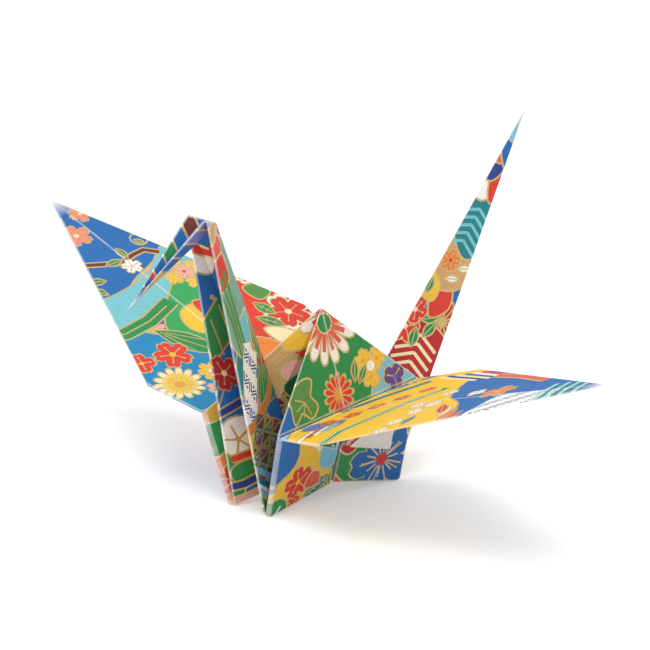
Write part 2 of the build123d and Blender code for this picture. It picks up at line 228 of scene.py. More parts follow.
# How deep each layer lies in its stack, counted from the outermost.
wall_depth = dict(leg_b=0, hump_b=1, top_b_low=2, edge_b_low=3, edge_low=4, top_low=5, hump_low=6,
                  hump_top=6)
wall_depth.update(leg_a=7)
foot_depth = 5.5              # where the turned-under layers meet the feet
inner_depth = len(set(wall_depth.values()))      # the neck's layers start inside the body's own
least_lean = 0.2              # keeps the clearance finite where a leg is almost upright
wing_depth = dict(top_wing=0, edge_wing=1, edge_b_wing=2, top_b_wing=3)
floor_depth = dict(leg_b_floor=0, edge_b_floor=3, edge_floor=4)
neck_depth = dict(leg_a_neck=0, edge_neck=1, edge_b_neck=2, leg_b_neck=3)
head_depth = dict(leg_b_head=4, edge_b_head=5, edge_head=6, leg_a_head=7)


# %% Where the creases of a quarter stand
def scaled(place):
    return tuple(form_scale * x for x in place)


def quarter_form(corners, end, tip, crotch, head):
    """Where the creases of one quarter stand, before the layers are spread."""
    own = corners[end]
    at = {"O": scaled(apex), "A": scaled(corners["wing_tip"]), "T": scaled(tip), "C": scaled(crotch)}
    at.update(Y=scaled(own["hinge"]), R=scaled(own["foot"]), W=scaled(own["elbow"]))
    at.update(M=scaled(corners["hinge_middle"]), G=scaled(corners["slit_foot"]))
    spine = (neck_fold_spine if head else tail_fold_spine) / half
    edge = (neck_fold_edge if head else tail_fold_edge) / half
    wall = hinge_height - spine
    slant = math.cos(math.radians(narrowing_angle))
    run = hinge_height / slant - edge
    at["X"] = between(at["Y"], at["R"], (hinge_height - 1) / slant / run)
    at["Q"] = between(at["M"], at["G"], (hinge_height - 1) / wall)
    at["P"] = between(at["M"], at["G"], (hinge_height - heights["knee"]) / wall)
    fold_share = (hinge_height - heights["knee"]) / heights["ridge"][0]
    at["J2"] = between(at["M"], at["Y"], fold_share)
    if head:
        at.update(K=scaled(own["brow"]), S=scaled(crown))
    return at


# %% Which way each stack faces
def quarter_normals(at, side, head):
    """The way out of each stack of layers."""
    out = (0.0, side, 0.0)
    far_end = at["S"] if head else at["T"]
    ways = dict(wall=facing(unit(cross(sub(at["M"], at["Y"]), sub(at["R"], at["Y"]))), out))
    ways["wing"] = facing(unit(cross(sub(at["A"], at["M"]), sub(at["W"], at["M"]))), (0.0, 0.0, 1.0))
    ways["neck"] = facing(unit(cross(sub(far_end, at["C"]), sub(at["R"], at["C"]))), out)
    ways["floor"] = facing(unit(cross(sub(at["G"], at["R"]), sub(at["C"], at["R"]))), (0.0, 0.0, -1.0))
    if head:
        ways["brow"] = facing(unit(cross(sub(at["T"], at["S"]), sub(at["K"], at["S"]))), out)
        ways["crown"] = unit(add(ways["brow"], ways["neck"]))
    return ways


# %% The place of one corner, with its layer's depth
same_place = dict(JT="Y", JE="Y", J="M", J3="M", R1="R", R2="R", N="G", FG="C", FN="C", K1="K", K2="K",
                  HG="S", HN="S")
slit_points = ("P", "G", "N", "J3", "J2")


def from_spine(place, at, way, depth):
    """A layer's end beside the spine, clear of the layers of the other side."""
    edge = at["K"] if place is at.get("S") else at["R"]
    across = unit(sub(edge, place))
    lean = max(abs(across[1]), least_lean)
    inward = add(place, way, -layer_pitch * depth)
    clear = layer_pitch * (max(neck_depth.values()) + 0.5) if depth else 0.0
    return add(inward, across, min(clear / lean, spine_clearance))


def place_corner(face, point, at, ways):
    """Where one corner of one flat face stands, with its layer's depth."""
    key = same_place.get(point, point)
    place = at[key]
    if point in slit_points:
        place = add(place, unit(sub(at["Y"], at["M"])), slit_gap)
    if point in ("O", "T") or (face.startswith("leg_a") and point in ("C", "S")):
        return place
    if face in wing_depth:
        return add(place, ways["wing"], -layer_pitch * wing_depth[face])
    if face in wall_depth:
        return add(place, ways["wall"], -layer_pitch * wall_depth[face])
    if face in floor_depth:
        depth = layer_pitch * floor_depth[face]
        if key == "R":
            return add(place, ways["wall"], -layer_pitch * foot_depth)
        place = add(place, ways["floor"], -depth)
        if key == "G":
            return add(place, ways["wall"], -depth)
        return from_spine(place, at, ways["neck"], max(neck_depth.values()))
    depth = neck_depth.get(face, head_depth.get(face))
    if key == "R":
        return add(place, ways["wall"], -layer_pitch * (inner_depth + depth))
    if key == "K":
        return add(place, ways["crown"], -layer_pitch * depth)
    if face in head_depth:
        inner = max(head_depth.values())
        return add(from_spine(place, at, ways["brow"], 0), ways["brow"], layer_pitch * (inner - depth))
    return from_spine(place, at, ways["neck"], depth)


# %% Every flat face of the sheet
def key_of(point):
    return tuple(round(x, 6) + 0.0 for x in point)


def turned(point, quarter):
    x, y = point
    return {"near front": (x, y), "near rear": (y, x), "far front": (-y, -x),
            "far rear": (-x, -y)}[quarter]


def signed_area(points):
    return sum(a[0] * b[1] - b[0] * a[1] for a, b in zip(points, points[1:] + points[:1])) / 2


def sheet_faces():
    """Every flat face: its name, corners on the sheet (mm, anticlockwise) and their places in space."""
    faces = []
    for side, corners, name in ((1.0, near_corners, "near"), (-1.0, far_corners, "far")):
        for end in ("front", "rear"):
            head = end == "front"
            spine = neck_fold_spine if head else tail_fold_spine
            edge = neck_fold_edge if head else tail_fold_edge
            head_folds = (head_fold_spine / half, head_fold_edge / half) if head else (0.0, 0.0)
            flat = quarter_points(spine / half, edge / half, *head_folds)
            tip, crotch = (beak_tip, front_crotch) if head else (tail_tip, rear_crotch)
            at = quarter_form(corners, end, tip, crotch, head)
            ways = quarter_normals(at, side, head)
            for face, listed in {**body_faces, **(neck_faces if head else tail_faces)}.items():
                points = listed.split()
                flat_at = [turned(flat[p], f"{name} {end}") for p in points]
                sheet = [key_of(tuple(half * x for x in spot)) for spot in flat_at]
                space = [place_corner(face, p, at, ways) for p in points]
                if signed_area(sheet) < 0:
                    sheet[1:] = sheet[:0:-1]
                    space[1:] = space[:0:-1]
                faces.append((face, sheet, space))
    return faces


def shared_places(faces):
    """Corners that two halves of one face share stand in the middle of their two places."""
    spots = {}
    for name, sheet, space in faces:
        for flat, place in zip(sheet, space):
            spots.setdefault((name, flat), []).append(place)
    return [(name, sheet, [middle(spots[(name, flat)]) for flat in sheet]) for name, sheet, _ in faces]


# %% [markdown]
# ## Small bends at the creases
# Paper never folds to a knife edge: each crease is a tight round bend. Each flat face stops a little
# short of its crease, a curve joins it to the next face, and where several creases meet a small fan
# closes the corner.

# %% Stopping short of a crease
def inset_corner(sheet, insets, i):
    """The corner of a face, moved in from its two edges, on the sheet."""
    here, back, ahead = sheet[i], sheet[i - 1], sheet[(i + 1) % len(sheet)]
    into, out = unit(sub(here, back)), unit(sub(ahead, here))
    turn = into[0] * out[1] - into[1] * out[0]
    if abs(turn) < 1e-6:
        return add(here, (-out[1], out[0]), insets[i])
    move = add(tuple(x * insets[i - 1] / turn for x in out), into, -insets[i] / turn)
    reach = size(move)
    return add(here, move, min(1.0, tip_reach / reach) if reach else 1.0)


def mapped(point, sheet, space, i):
    """A point of the sheet near corner i, placed in space with that corner and its neighbours."""
    here, back, ahead = sheet[i], sheet[i - 1], sheet[(i + 1) % len(sheet)]
    e, f, d = sub(ahead, here), sub(back, here), sub(point, here)
    turn = e[0] * f[1] - e[1] * f[0]
    if abs(turn) < 1e-6:
        back = sheet[i - 2]
        f = sub(back, here)
        turn = e[0] * f[1] - e[1] * f[0]
        space_f = sub(space[i - 2], space[i])
    else:
        space_f = sub(space[i - 1], space[i])
    a, b = (d[0] * f[1] - d[1] * f[0]) / turn, (e[0] * d[1] - e[1] * d[0]) / turn
    return add(add(space[i], sub(space[(i + 1) % len(sheet)], space[i]), a), space_f, b)


def bend(start, leave, end, arrive):
    """Points inside the bend from one face to the next: a round arc that meets both faces smoothly."""
    chord = size(sub(end, start))
    turn = math.acos(max(-1.0, min(1.0, dot(leave, arrive))))
    pull = chord / 3
    if turn > 0.05:
        pull = min(4 / 3 * math.tan(turn / 4) * chord / (2 * math.sin(turn / 2)), chord)
    first, second = add(start, leave, pull), add(end, arrive, -pull)
    points = []
    for step in range(1, fold_strips):
        t = step / fold_strips
        weights = ((1 - t) ** 3, 3 * t * (1 - t) ** 2, 3 * t * t * (1 - t), t ** 3)
        corners = (start, first, second, end)
        points.append(tuple(sum(w * c[axis] for w, c in zip(weights, corners)) for axis in range(3)))
    return points


# %% Closing the corners where creases meet
def vertex_ring(here, links, faces):
    """The faces round a corner of the creases, in order. A closed ring ends as it began."""
    def spin(number):
        centre = middle([tuple(p) for p in faces[number][1]])
        return math.atan2(centre[1] - here[1], centre[0] - here[0])

    ends = [n for n, others in links.items() if len(others) == 1]
    start = ends[0] if ends else next(iter(links))
    ring = [start]
    while True:
        choices = [n for n in links[ring[-1]] if len(ring) < 2 or n != ring[-2]]
        if not choices:
            break
        if len(ring) == 1 and len(choices) > 1:
            choices.sort(key=lambda n: (spin(n) - spin(start)) % (2 * math.pi))
        ring.append(choices[0])
        if ring[-1] == start:
            break
    if ends and len(ring) > 1:
        turn = (spin(ring[1]) - spin(ring[0])) % (2 * math.pi)
        if turn > math.pi:
            ring.reverse()
    return ring


def hub_place(here, ring, faces, loop, closed):
    """Where the point of a corner stands: amid its ring, or at the sharp tip of the sheet."""
    if closed:
        return middle(loop)
    places = [faces[n][2][faces[n][1].index(here)] for n in ring]
    return middle(places)


# %% The middle surface of the folded sheet
def sheet_mesh(faces):
    """Middle surface of the sheet: points and triangles, with a small bend at each crease."""
    edges = {}
    for number, (name, sheet, space) in enumerate(faces):
        for i, flat in enumerate(sheet):
            edges.setdefault(frozenset((flat, sheet[(i + 1) % len(sheet)])), []).append((number, i))
    points, flats, triangles, corner, leaving = [], [], [], {}, {}

    def new_point(place, flat):
        points.append(place)
        flats.append(flat)
        return len(points) - 1

    for number, (name, sheet, space) in enumerate(faces):
        insets = []
        for i, flat in enumerate(sheet):
            pair = edges[frozenset((flat, sheet[(i + 1) % len(sheet)]))]
            other = [faces[n][0] for n, _ in pair if n != number]
            at_hinge = bool(other) and other[0].endswith("_wing") and not name.endswith("_wing")
            insets.append(0.0 if len(pair) == 1 else hinge_inset if at_hinge else fold_inset)
        for i, flat in enumerate(sheet):
            spot = inset_corner(sheet, insets, i)
            place = mapped(spot, sheet, space, i)
            corner[number, flat] = new_point(place, spot)
            for j in (i - 1, i):
                a, b = sheet[j], sheet[(j + 1) % len(sheet)]
                way = unit(sub(b, a))
                foot = add(a, way, dot(sub(spot, a), way))
                if size(sub(foot, spot)) > 1e-9:
                    other_end = b if a == flat else a
                    leaving[number, flat, other_end] = unit(sub(mapped(foot, sheet, space, i), place))
        for i in range(1, len(sheet) - 1):
            triangles.append(tuple(corner[number, sheet[k]] for k in (0, i, i + 1)))
    flat_count = len(triangles)
    rows = {}
    for pair in edges.values():
        if len(pair) < 2:
            continue
        (one, i), (two, _) = pair
        a, b = faces[one][1][i], faces[one][1][(i + 1) % len(faces[one][1])]
        for here, there in ((a, b), (b, a)):
            start, end = points[corner[one, here]], points[corner[two, here]]
            arrive = tuple(-x for x in leaving[two, here, there])
            flat_a, flat_b = flats[corner[one, here]], flats[corner[two, here]]
            inner = [new_point(p, between(flat_a, flat_b, (k + 1) / fold_strips))
                     for k, p in enumerate(bend(start, leaving[one, here, there], end, arrive))]
            rows[here, one, two] = [corner[one, here], *inner, corner[two, here]]
            rows[here, two, one] = rows[here, one, two][::-1]
        for k in range(fold_strips):
            p, q = rows[a, one, two][k], rows[b, one, two][k]
            r, s = rows[b, one, two][k + 1], rows[a, one, two][k + 1]
            triangles += [(p, s, r), (p, r, q)]
    used = {(t[i], t[(i + 1) % 3]) for t in triangles for i in range(3)}
    around = {}
    for (here, one, two) in rows:
        around.setdefault(here, {}).setdefault(one, []).append(two)
    for here, links in around.items():
        if len(links) < 3:
            continue
        ring = vertex_ring(here, links, faces)
        loop = []
        for one, two in zip(ring, ring[1:]):
            loop += rows[here, one, two][:-1]
        closed = len(links[ring[0]]) > 1
        if not closed:
            loop.append(corner[ring[-1], here])
        hub = new_point(hub_place(here, ring, faces, [points[k] for k in loop], closed), here)
        pairs = zip(loop, loop[1:] + loop[:1]) if closed else zip(loop, loop[1:])
        triangles += [(hub, q, p) if (p, q) in used else (hub, p, q) for p, q in pairs]
    return points, flats, triangles, flat_count


# %% Giving the sheet its thickness
def thickened(points, triangles):
    """The two skins, half a thickness to each side of the middle surface: first all the upper points."""
    normals = [(0.0, 0.0, 0.0)] * len(points)
    for a, b, c in triangles:
        spread = cross(sub(points[b], points[a]), sub(points[c], points[a]))
        for k in (a, b, c):
            normals[k] = add(normals[k], spread)
    upper = [add(p, unit(n), paper_thickness / 2) for p, n in zip(points, normals)]
    lower = [add(p, unit(n), -paper_thickness / 2) for p, n in zip(points, normals)]
    return upper + lower


faces = shared_places(sheet_faces())
points, flats, triangles, flat_count = sheet_mesh(faces)
skin_points = thickened(points, triangles)
low = min(p[2] for p in skin_points)
centre = [(min(p[i] for p in skin_points) + max(p[i] for p in skin_points)) / 2 for i in (0, 1)]
print(len(points), "points and", len(triangles), "triangles,", flat_count, "of them on flat faces")

# %% [markdown]
# ## The print
# Chiyogami is printed from cut stencils: each motif is a flat field of colour with a thin gold
# outline. So the print is a list of outlines on the flat sheet, in millimetres from its middle, and a
# later outline covers an earlier one, like paint. An image texture would blur at the gold lines, and
# a pattern of shader nodes could not place a flower. Outlines stay sharp at any distance.

# %% Inks
palette = {
    "blue": (20, 104, 176), "deep blue": (36, 62, 140), "turquoise": (8, 134, 184),
    "sky": (126, 192, 214), "cyan": (120, 196, 204), "pale cyan": (170, 218, 214),
    "green": (36, 140, 72), "fresh green": (52, 164, 86), "dark green": (26, 98, 56),
    "sage": (124, 174, 150), "leaf": (84, 142, 66), "red": (222, 56, 38),
    "crimson": (186, 30, 36), "salmon": (236, 138, 108), "coral": (226, 98, 78),
    "yellow": (246, 196, 48), "ochre": (222, 166, 56), "cream": (248, 228, 176),
    "white": (248, 242, 234), "orange": (238, 128, 48), "pink": (242, 172, 160),
    "teal": (28, 128, 136), "violet": (108, 116, 184), "purple": (104, 72, 140),
    "tan": (212, 164, 106), "brown": (112, 48, 36), "gold": (216, 190, 126)}
gold_line = 0.36              # width of a motif's gold outline
gold_vein = 0.2               # width of a stamen or a leaf's midrib
shapes = []


def linear(rgb):
    """The inks are written as a printer would mix them for the eye; the renderer wants linear light."""
    return tuple(((c / 255 + 0.055) / 1.055) ** 2.4 for c in rgb)


def draw(outline, colour):
    """Print one outline. Its points run anticlockwise, as the cutting of the sheet needs."""
    shapes.append((outline if signed_area(outline) > 0 else outline[::-1], colour))


# %% Smooth outlines and bands
def rounded(corners, steps=5):
    """A smooth closed line through a few chosen points."""
    ring = []
    for i, here in enumerate(corners):
        before, ahead = corners[i - 1], corners[(i + 1) % len(corners)]
        after = corners[(i + 2) % len(corners)]
        for k in range(steps):
            t = k / steps
            weights = (-t + 2 * t * t - t ** 3, 2 - 5 * t * t + 3 * t ** 3, t + 4 * t * t - 3 * t ** 3,
                       t ** 3 - t * t)
            pairs = list(zip(weights, (before, here, ahead, after)))
            ring.append(tuple(sum(w * p[axis] for w, p in pairs) / 2 for axis in (0, 1)))
    return ring


def grown(ring, width):
    """The same outline, a little larger all round."""
    turn = 1 if signed_area(ring) > 0 else -1
    out = []
    for i, here in enumerate(ring):
        way = unit(sub(ring[(i + 1) % len(ring)], ring[i - 1]))
        out.append(add(here, (way[1], -way[0]), turn * width))
    return out


def field(colour, *corners):
    """A soft-edged field of one colour with a gold outline."""
    ring = rounded(corners)
    draw(grown(ring, gold_line), "gold")
    draw(ring, colour)


def stripe(colour, width, *path):
    """A band along a few points."""
    left, right = [], []
    for i, here in enumerate(path):
        way = unit(sub(path[min(i + 1, len(path) - 1)], path[max(i - 1, 0)]))
        left.append(add(here, (-way[1], way[0]), width / 2))
        right.append(add(here, (way[1], -way[0]), width / 2))
    draw(left[::-1] + right, colour)


def band(colour, width, *path):
    """A band with a gold line along each side."""
    stripe("gold", width + 2 * gold_line, *path)
    stripe(colour, width, *path)


def disc(x, y, radius, colour, steps=12):
    turns = [2 * math.pi * k / steps for k in range(steps)]
    draw([(x + radius * math.cos(a), y + radius * math.sin(a)) for a in turns], colour)


# %% Flowers
def petal_ring(x, y, radius, petals, depth, turn, notch=0.0, steps=8):
    """A flower's outline: round petals about a middle, with a small notch at each tip."""
    ring = []
    for k in range(petals * steps):
        angle = 2 * math.pi * k / (petals * steps)
        wave = abs(math.cos(petals * angle / 2))
        reach = radius * (1 - depth + depth * wave ** 0.6)
        if k % steps == 0:
            reach *= 1 - notch
        ring.append((x + reach * math.cos(angle + turn), y + reach * math.sin(angle + turn)))
    return ring


def ray(x, y, angle, start, end, width, colour="gold"):
    """A thin straight line out from a flower's middle."""
    way = (math.cos(angle), math.sin(angle))
    stripe(colour, width, add((x, y), way, start), add((x, y), way, end))


def blossom(x, y, radius, colour, heart="yellow", turn=0.0, petals=5):
    """A plum or cherry blossom, with a stamen of gold dots."""
    draw(petal_ring(x, y, radius, petals, 0.42, turn, 0.12), "gold")
    draw(petal_ring(x, y, radius - gold_line, petals, 0.42, turn, 0.12), colour)
    for k in range(petals):
        angle = turn + 2 * math.pi * k / petals
        ray(x, y, angle, radius * 0.12, radius * 0.52, gold_vein)
        disc(x + radius * 0.56 * math.cos(angle), y + radius * 0.56 * math.sin(angle), 0.24, "gold", 6)
    disc(x, y, radius * 0.16, heart, 8)


def chrysanthemum(x, y, radius, colour, heart="gold", turn=0.0, petals=12, inner=None):
    """A chrysanthemum: narrow round petals, each with a gold line round it."""
    draw(petal_ring(x, y, radius, petals, 0.3, turn, 0.0, 6), "gold")
    wide = math.sin(math.pi / petals) * 0.8
    for k in range(petals):
        angle = turn + 2 * math.pi * k / petals
        way, side = (math.cos(angle), math.sin(angle)), (-math.sin(angle), math.cos(angle))
        reach = radius - gold_line
        petal = [(0.2, 0.0), (0.62, -wide * 0.62), (0.86, -wide * 0.7), (0.98, -wide * 0.3),
                 (0.98, wide * 0.3),
                 (0.86, wide * 0.7), (0.62, wide * 0.62)]
        draw([add(add((x, y), way, u * reach), side, v * reach) for u, v in petal], colour)
        if inner:
            ray(x, y, angle, 0.25 * radius, 0.66 * radius, wide * radius * 0.7, inner)
    disc(x, y, radius * 0.22, heart, 10)


# %% Leaves
def leaf(x, y, angle, length, width, colour="green", veins=0):
    """A pointed leaf from its stem end, with a gold midrib and, if wanted, side veins."""
    way, side = (math.cos(angle), math.sin(angle)), (-math.sin(angle), math.cos(angle))

    def outline(grow):
        ring = []
        for k in range(14):
            t = k / 7
            along = t if t <= 1 else 2 - t
            bulge = math.sin(math.pi * along) * (-1 if t <= 1 else 1)
            reach = -grow + (length + 2 * grow) * along
            ring.append(add(add((x, y), way, reach), side, (width / 2 + grow) * bulge))
        return ring

    draw(outline(gold_line), "gold")
    draw(outline(0.0), colour)
    ray(x, y, angle, length * 0.08, length * 0.92, 0.22)
    for k in range(veins):
        start = add((x, y), way, length * (k + 1) / (veins + 1.5))
        for lean in (-0.7, 0.7):
            ray(*start, angle + lean, 0.0, width * 0.42, 0.16)


def grass(x, y, angle, length, width, colour="green"):
    """A long blade with gold lines along it."""
    leaf(x, y, angle, length, width, colour)
    for lean in (-0.16, 0.16):
        ray(x, y, angle + lean * width / length * 4, length * 0.15, length * 0.72, 0.18)


# %% Woven and geometric patterns
def key_fret(x, y, angle, columns, rows, pitch, ground, line):
    """A key pattern: nested corners of fine lines on a ground."""
    way, side = (math.cos(angle), math.sin(angle)), (-math.sin(angle), math.cos(angle))

    def spot(u, v):
        return add(add((x, y), way, u * pitch), side, v * pitch)

    draw([spot(0, 0), spot(columns, 0), spot(columns, rows), spot(0, rows)], ground)
    for i in range(columns):
        for j in range(rows):
            flip = (i + j) % 2
            for inset in (0.12, 0.4):
                far = 1 - inset
                corner, arm_a, arm_b = (inset, inset), (far, inset), (inset, far)
                if flip:
                    corner, arm_a, arm_b = (far, far), (inset, far), (far, inset)
                for arm in (arm_a, arm_b):
                    stripe(line, pitch * 0.13, spot(i + corner[0], j + corner[1]),
                           spot(i + arm[0], j + arm[1]))


def chevrons(x, y, angle, count, pitch, width, line):
    """A row of nested angles."""
    way, side = (math.cos(angle), math.sin(angle)), (-math.sin(angle), math.cos(angle))
    for k in range(count):
        tip = add((x, y), way, k * pitch)
        for lean in (-1, 1):
            end = add(add(tip, way, -width * 0.5), side, lean * width)
            stripe(line, pitch * 0.36, tip, end)


def waves(x, y, count, radius, line, turn=0.0):
    """Nested arcs, as water is drawn."""
    for k in range(count):
        reach = radius * (k + 1) / count
        arc = [turn + math.pi * t / 6 for t in range(7)]
        stripe(line, radius / count * 0.36, *[(x + reach * math.cos(a),
                                               y + reach * math.sin(a)) for a in arc])


def lattice(x, y, columns, rows, pitch, colours):
    """A lattice of triangles with gold bars between them."""
    for i in range(columns):
        for j in range(rows):
            a, b = (x + i * pitch, y + j * pitch), (x + (i + 1) * pitch, y + j * pitch)
            c, d = (x + (i + 1) * pitch, y + (j + 1) * pitch), (x + i * pitch, y + (j + 1) * pitch)
            draw([a, b, c, d], "gold")
            for n, trio in enumerate(((a, b, c), (a, c, d))):
                heart = middle(trio)
                draw([between(heart, p, 0.72) for p in trio], colours[(i + 2 * j + n) % len(colours)])
                draw([between(heart, p, 0.36) for p in trio],
                     colours[(i + 2 * j + n + 1) % len(colours)])


# %% [markdown]
# ## Grounds all over the sheet
# Most of a crane's sheet ends up inside the folds or underneath. The print runs on there all the
# same, so the whole sheet first gets a patchwork of grounds, leaves and blossoms. Their sizes and
# inks are drawn from a random source with a fixed seed, so that every run prints the same sheet.

# %% The patchwork
def patchwork(rng, pitch=21.0):
    grounds = ["blue", "green", "red", "yellow", "sky", "turquoise", "teal", "cream", "orange",
               "violet"]
    flowers = ["red", "crimson", "salmon", "yellow", "white", "pink"]
    draw([(-half, -half), (half, -half), (half, half), (-half, half)], "blue")
    reach = range(-3, 4)
    spots = [(pitch * (col + 0.5 * (row % 2)) + rng.uniform(-3, 3),
              pitch * 0.9 * row + rng.uniform(-3, 3))
             for row in reach for col in reach]
    for x, y in spots:
        turns = [2 * math.pi * k / 7 for k in range(7)]
        wide = [rng.uniform(9, 13) for _ in turns]
        ring = [(x + r * math.cos(a), y + 0.8 * r * math.sin(a)) for r, a in zip(wide, turns)]
        field(rng.choice(grounds), *ring)
    for x, y in spots:
        for _ in range(2):
            angle = rng.uniform(0, 2 * math.pi)
            leaf(x + 3 * math.cos(angle), y + 3 * math.sin(angle), angle, rng.uniform(5, 7),
                 rng.uniform(2, 3),
                 rng.choice(["green", "leaf", "dark green", "teal"]), 2)
        blossom(x, y, rng.uniform(3.6, 4.6), rng.choice(flowers), rng.choice(["yellow", "white"]),
                rng.uniform(0, 6))
        chrysanthemum(x + 0.5 * pitch, y + rng.uniform(-2, 2), rng.uniform(3.2, 4.2),
                      rng.choice(flowers), "gold",
                      rng.uniform(0, 6))


patchwork(random.Random(7))
print(len(shapes), "outlines in the patchwork")

# %% [markdown]
# ## The motifs that show
# The rest is placed part by part, where each stretch of the sheet ends up on the crane. The
# places are millimetres on the flat sheet, right and up from its middle: the beak is the upper left
# corner, the near wing's tip the upper right, the tail the lower right and the far wing's tip the
# lower left.


# %% The far wing: a branch over water, leaves and blossoms
def far_wing_print():
    field("blue", (-78, -78), (-50, -78), (-53, -66), (-58, -56), (-62, -49), (-78, -46))
    field("red", (-45, -78), (-20, -78), (-18, -40), (-30, -36), (-40, -42), (-42, -60))
    field("turquoise", (-70, -37), (-56, -40), (-44, -38), (-36, -34), (-34, -14), (-50, -10),
          (-70, -12))
    field("cyan", (-66, -45), (-61, -50), (-56, -57), (-53, -67), (-46, -70), (-48, -60), (-50, -52),
          (-54, -44),
          (-60, -40), (-66, -38))
    field("fresh green", (-51, -56), (-46, -60), (-41, -58), (-39, -46), (-41, -38), (-47, -38),
          (-52, -43))
    band("green", 2.8, (-64, -36), (-59, -39), (-55, -43.5), (-51.6, -50))
    stripe("gold", 0.3, (-63, -36.6), (-59, -39), (-55, -43.5), (-52.2, -48.5))
    grass(-54, -41, 0.28, 13, 4.2)
    band("brown", 0.9, (-70, -55.5), (-67, -57), (-61, -59), (-59, -62), (-57, -64), (-54, -64))
    blossom(-59, -58.6, 2.3, "white", "pink", 0.4)
    leaf(-61, -60, 2.4, 3.6, 1.4)
    leaf(-60, -61, 3.9, 3.0, 1.3)
    leaf(-66.5, -52, 5.9, 3.2, 1.5)
    leaf(-66, -50, 0.2, 3.2, 1.5)
    blossom(-69.7, -65.2, 3.3, "salmon", "cream", 0.3)
    blossom(-69.4, -72, 2.6, "salmon", "cream", 1.0)
    disc(-58, -67, 1.9, "gold")
    disc(-58, -67, 1.5, "blue")
    leaf(-58.8, -66.6, 0.3, 2.0, 0.9)
    for x, y in ((-51, -57), (-47, -56.8), (-47.6, -61.2), (-51.2, -61)):
        blossom(x, y, 2.1, "yellow", "yellow", x)
    blossom(-49.2, -59.3, 2.4, "pink", "red", 0.5)
    field("yellow", (-49.5, -47), (-47.5, -50), (-44, -49), (-43, -45), (-45, -42.5), (-48, -43.5))
    field("red", (-47.5, -50.5), (-45, -51.5), (-43.5, -48.5), (-44.6, -47))
    blossom(-50.5, -35, 3.9, "red", "yellow", 0.2)
    blossom(-55.8, -31.4, 2.9, "red", "yellow", 1.1, 4)
    chrysanthemum(-48.8, -27, 4.9, "cream", "ochre", 0.1, 14, "yellow")
    blossom(-43.6, -32, 2.6, "yellow", "white", 0.6, 6)
    blossom(-42, -27.4, 2.2, "pink", "red", 0.9)


# %% The far wing's rear half: red blossoms with white edges
def far_wing_rear_print():
    blossom(-29.5, -52, 5.6, "white", "red", 0.3)
    blossom(-29.5, -52, 4.7, "red", "cream", 0.3)
    blossom(-36.5, -62, 4.4, "white", "red", 0.9)
    blossom(-36.5, -62, 3.6, "coral", "cream", 0.9)
    field("leaf", (-38, -57), (-35, -59), (-33, -57), (-35, -54.5))
    leaf(-36, -53, 0.5, 4.5, 2.2, "green", 2)
    leaf(-35.5, -49, 0.2, 5.5, 2.2, "green", 2)
    leaf(-31, -44, 2.4, 5, 2, "green", 2)
    field("cream", (-34, -46), (-30, -47), (-27, -45), (-30, -42.5))
    field("orange", (-36, -43), (-31, -42.5), (-27, -40), (-29, -36), (-35, -38))
    blossom(-24, -60, 3.6, "white", "red", 0.2)


# %% The peak of the back and the hump
def hump_print():
    field("green", (-5, 8), (-3, 20), (5, 24), (16, 18), (18, 6), (17, -6), (8, -8), (-2, -6))
    field("sky", (16.6, 6), (16.2, 0), (17, -8), (26, -10), (28, 2), (24, 8), (19, 9))
    field("blue", (-8, 20), (-1, 19), (3, 21), (3, 27), (-4, 33), (-12, 26))
    field("yellow", (-9, 1), (-4, -1), (1, 3), (0, 9), (-3, 7), (-6, 4))
    chrysanthemum(1.8, 2.2, 7.4, "white", "green", 0.2, 14, "coral")
    chrysanthemum(10.2, 11.2, 3.9, "crimson", "ochre", 0.3, 13)
    chrysanthemum(10.2, 11.2, 3.7, "red", "ochre", 0.3, 13)
    field("leaf", (1, 14), (3, 12.6), (4, 15), (6.4, 15.6), (6, 18), (3.6, 18.4), (3, 21), (1, 19),
          (-0.6, 17.6))
    for lean in (0.4, 1.2, 2.0, 2.8):
        ray(3.4, 16.6, lean, 0.0, 2.6, gold_vein)
    for x, y, turn in ((12.6, 3.6, 0.2), (15.2, 1.6, 1.2), (15.6, 5, 2.2)):
        blossom(x, y, 2.3, "yellow", "ochre", turn, 3)
    disc(14.6, 3.4, 0.9, "white")
    leaf(12.6, 7.4, 4.2, 3.6, 1.3)
    leaf(13.6, 7.2, 4.7, 3.4, 1.2)
    blossom(20.4, 2.4, 2.9, "purple", "violet", 0.7, 3)
    stripe("gold", 0.3, (18.4, -3), (19.6, 0.4))
    blossom(23, -5, 3.0, "white", "yellow", 0.2)


# %% The groove in front of the hump and the hidden stretch to the far side
def groove_print():
    field("tan", (-22, -8), (-10, -3), (-9, 3), (-12, 6), (-22, 6), (-28, -2))
    band("red", 2.6, (-7, -4), (-7.4, 0.4), (-7, 4.6), (-5, 8))
    for k in range(12):
        disc(-11.6 + 0.7 * (k % 4), 0.2 + 0.9 * (k // 4), 0.18, "gold", 6)
    field("pink", (-12.6, 3.6), (-9.6, 3.4), (-8.4, 6), (-10, 9), (-12.6, 7.6))
    lattice(-21, 6, 4, 7, 2.7, ["dark green", "crimson", "deep blue", "ochre"])
    field("dark green", (-14, 5.6), (-11, 6), (-9.4, 9), (-11.4, 12), (-14, 9))
    field("orange", (-33, 8), (-27.6, 5), (-25, 8), (-27, 14), (-33, 16))
    field("green", (-31, 1.6), (-26, 1), (-24, 4), (-27, 6.6), (-31, 6))
    field("ochre", (-26, -4), (-21, -3), (-20, 1.6), (-24, 2.4), (-28, 0))
    blossom(-31, 11, 3.0, "red", "yellow", 0.4)


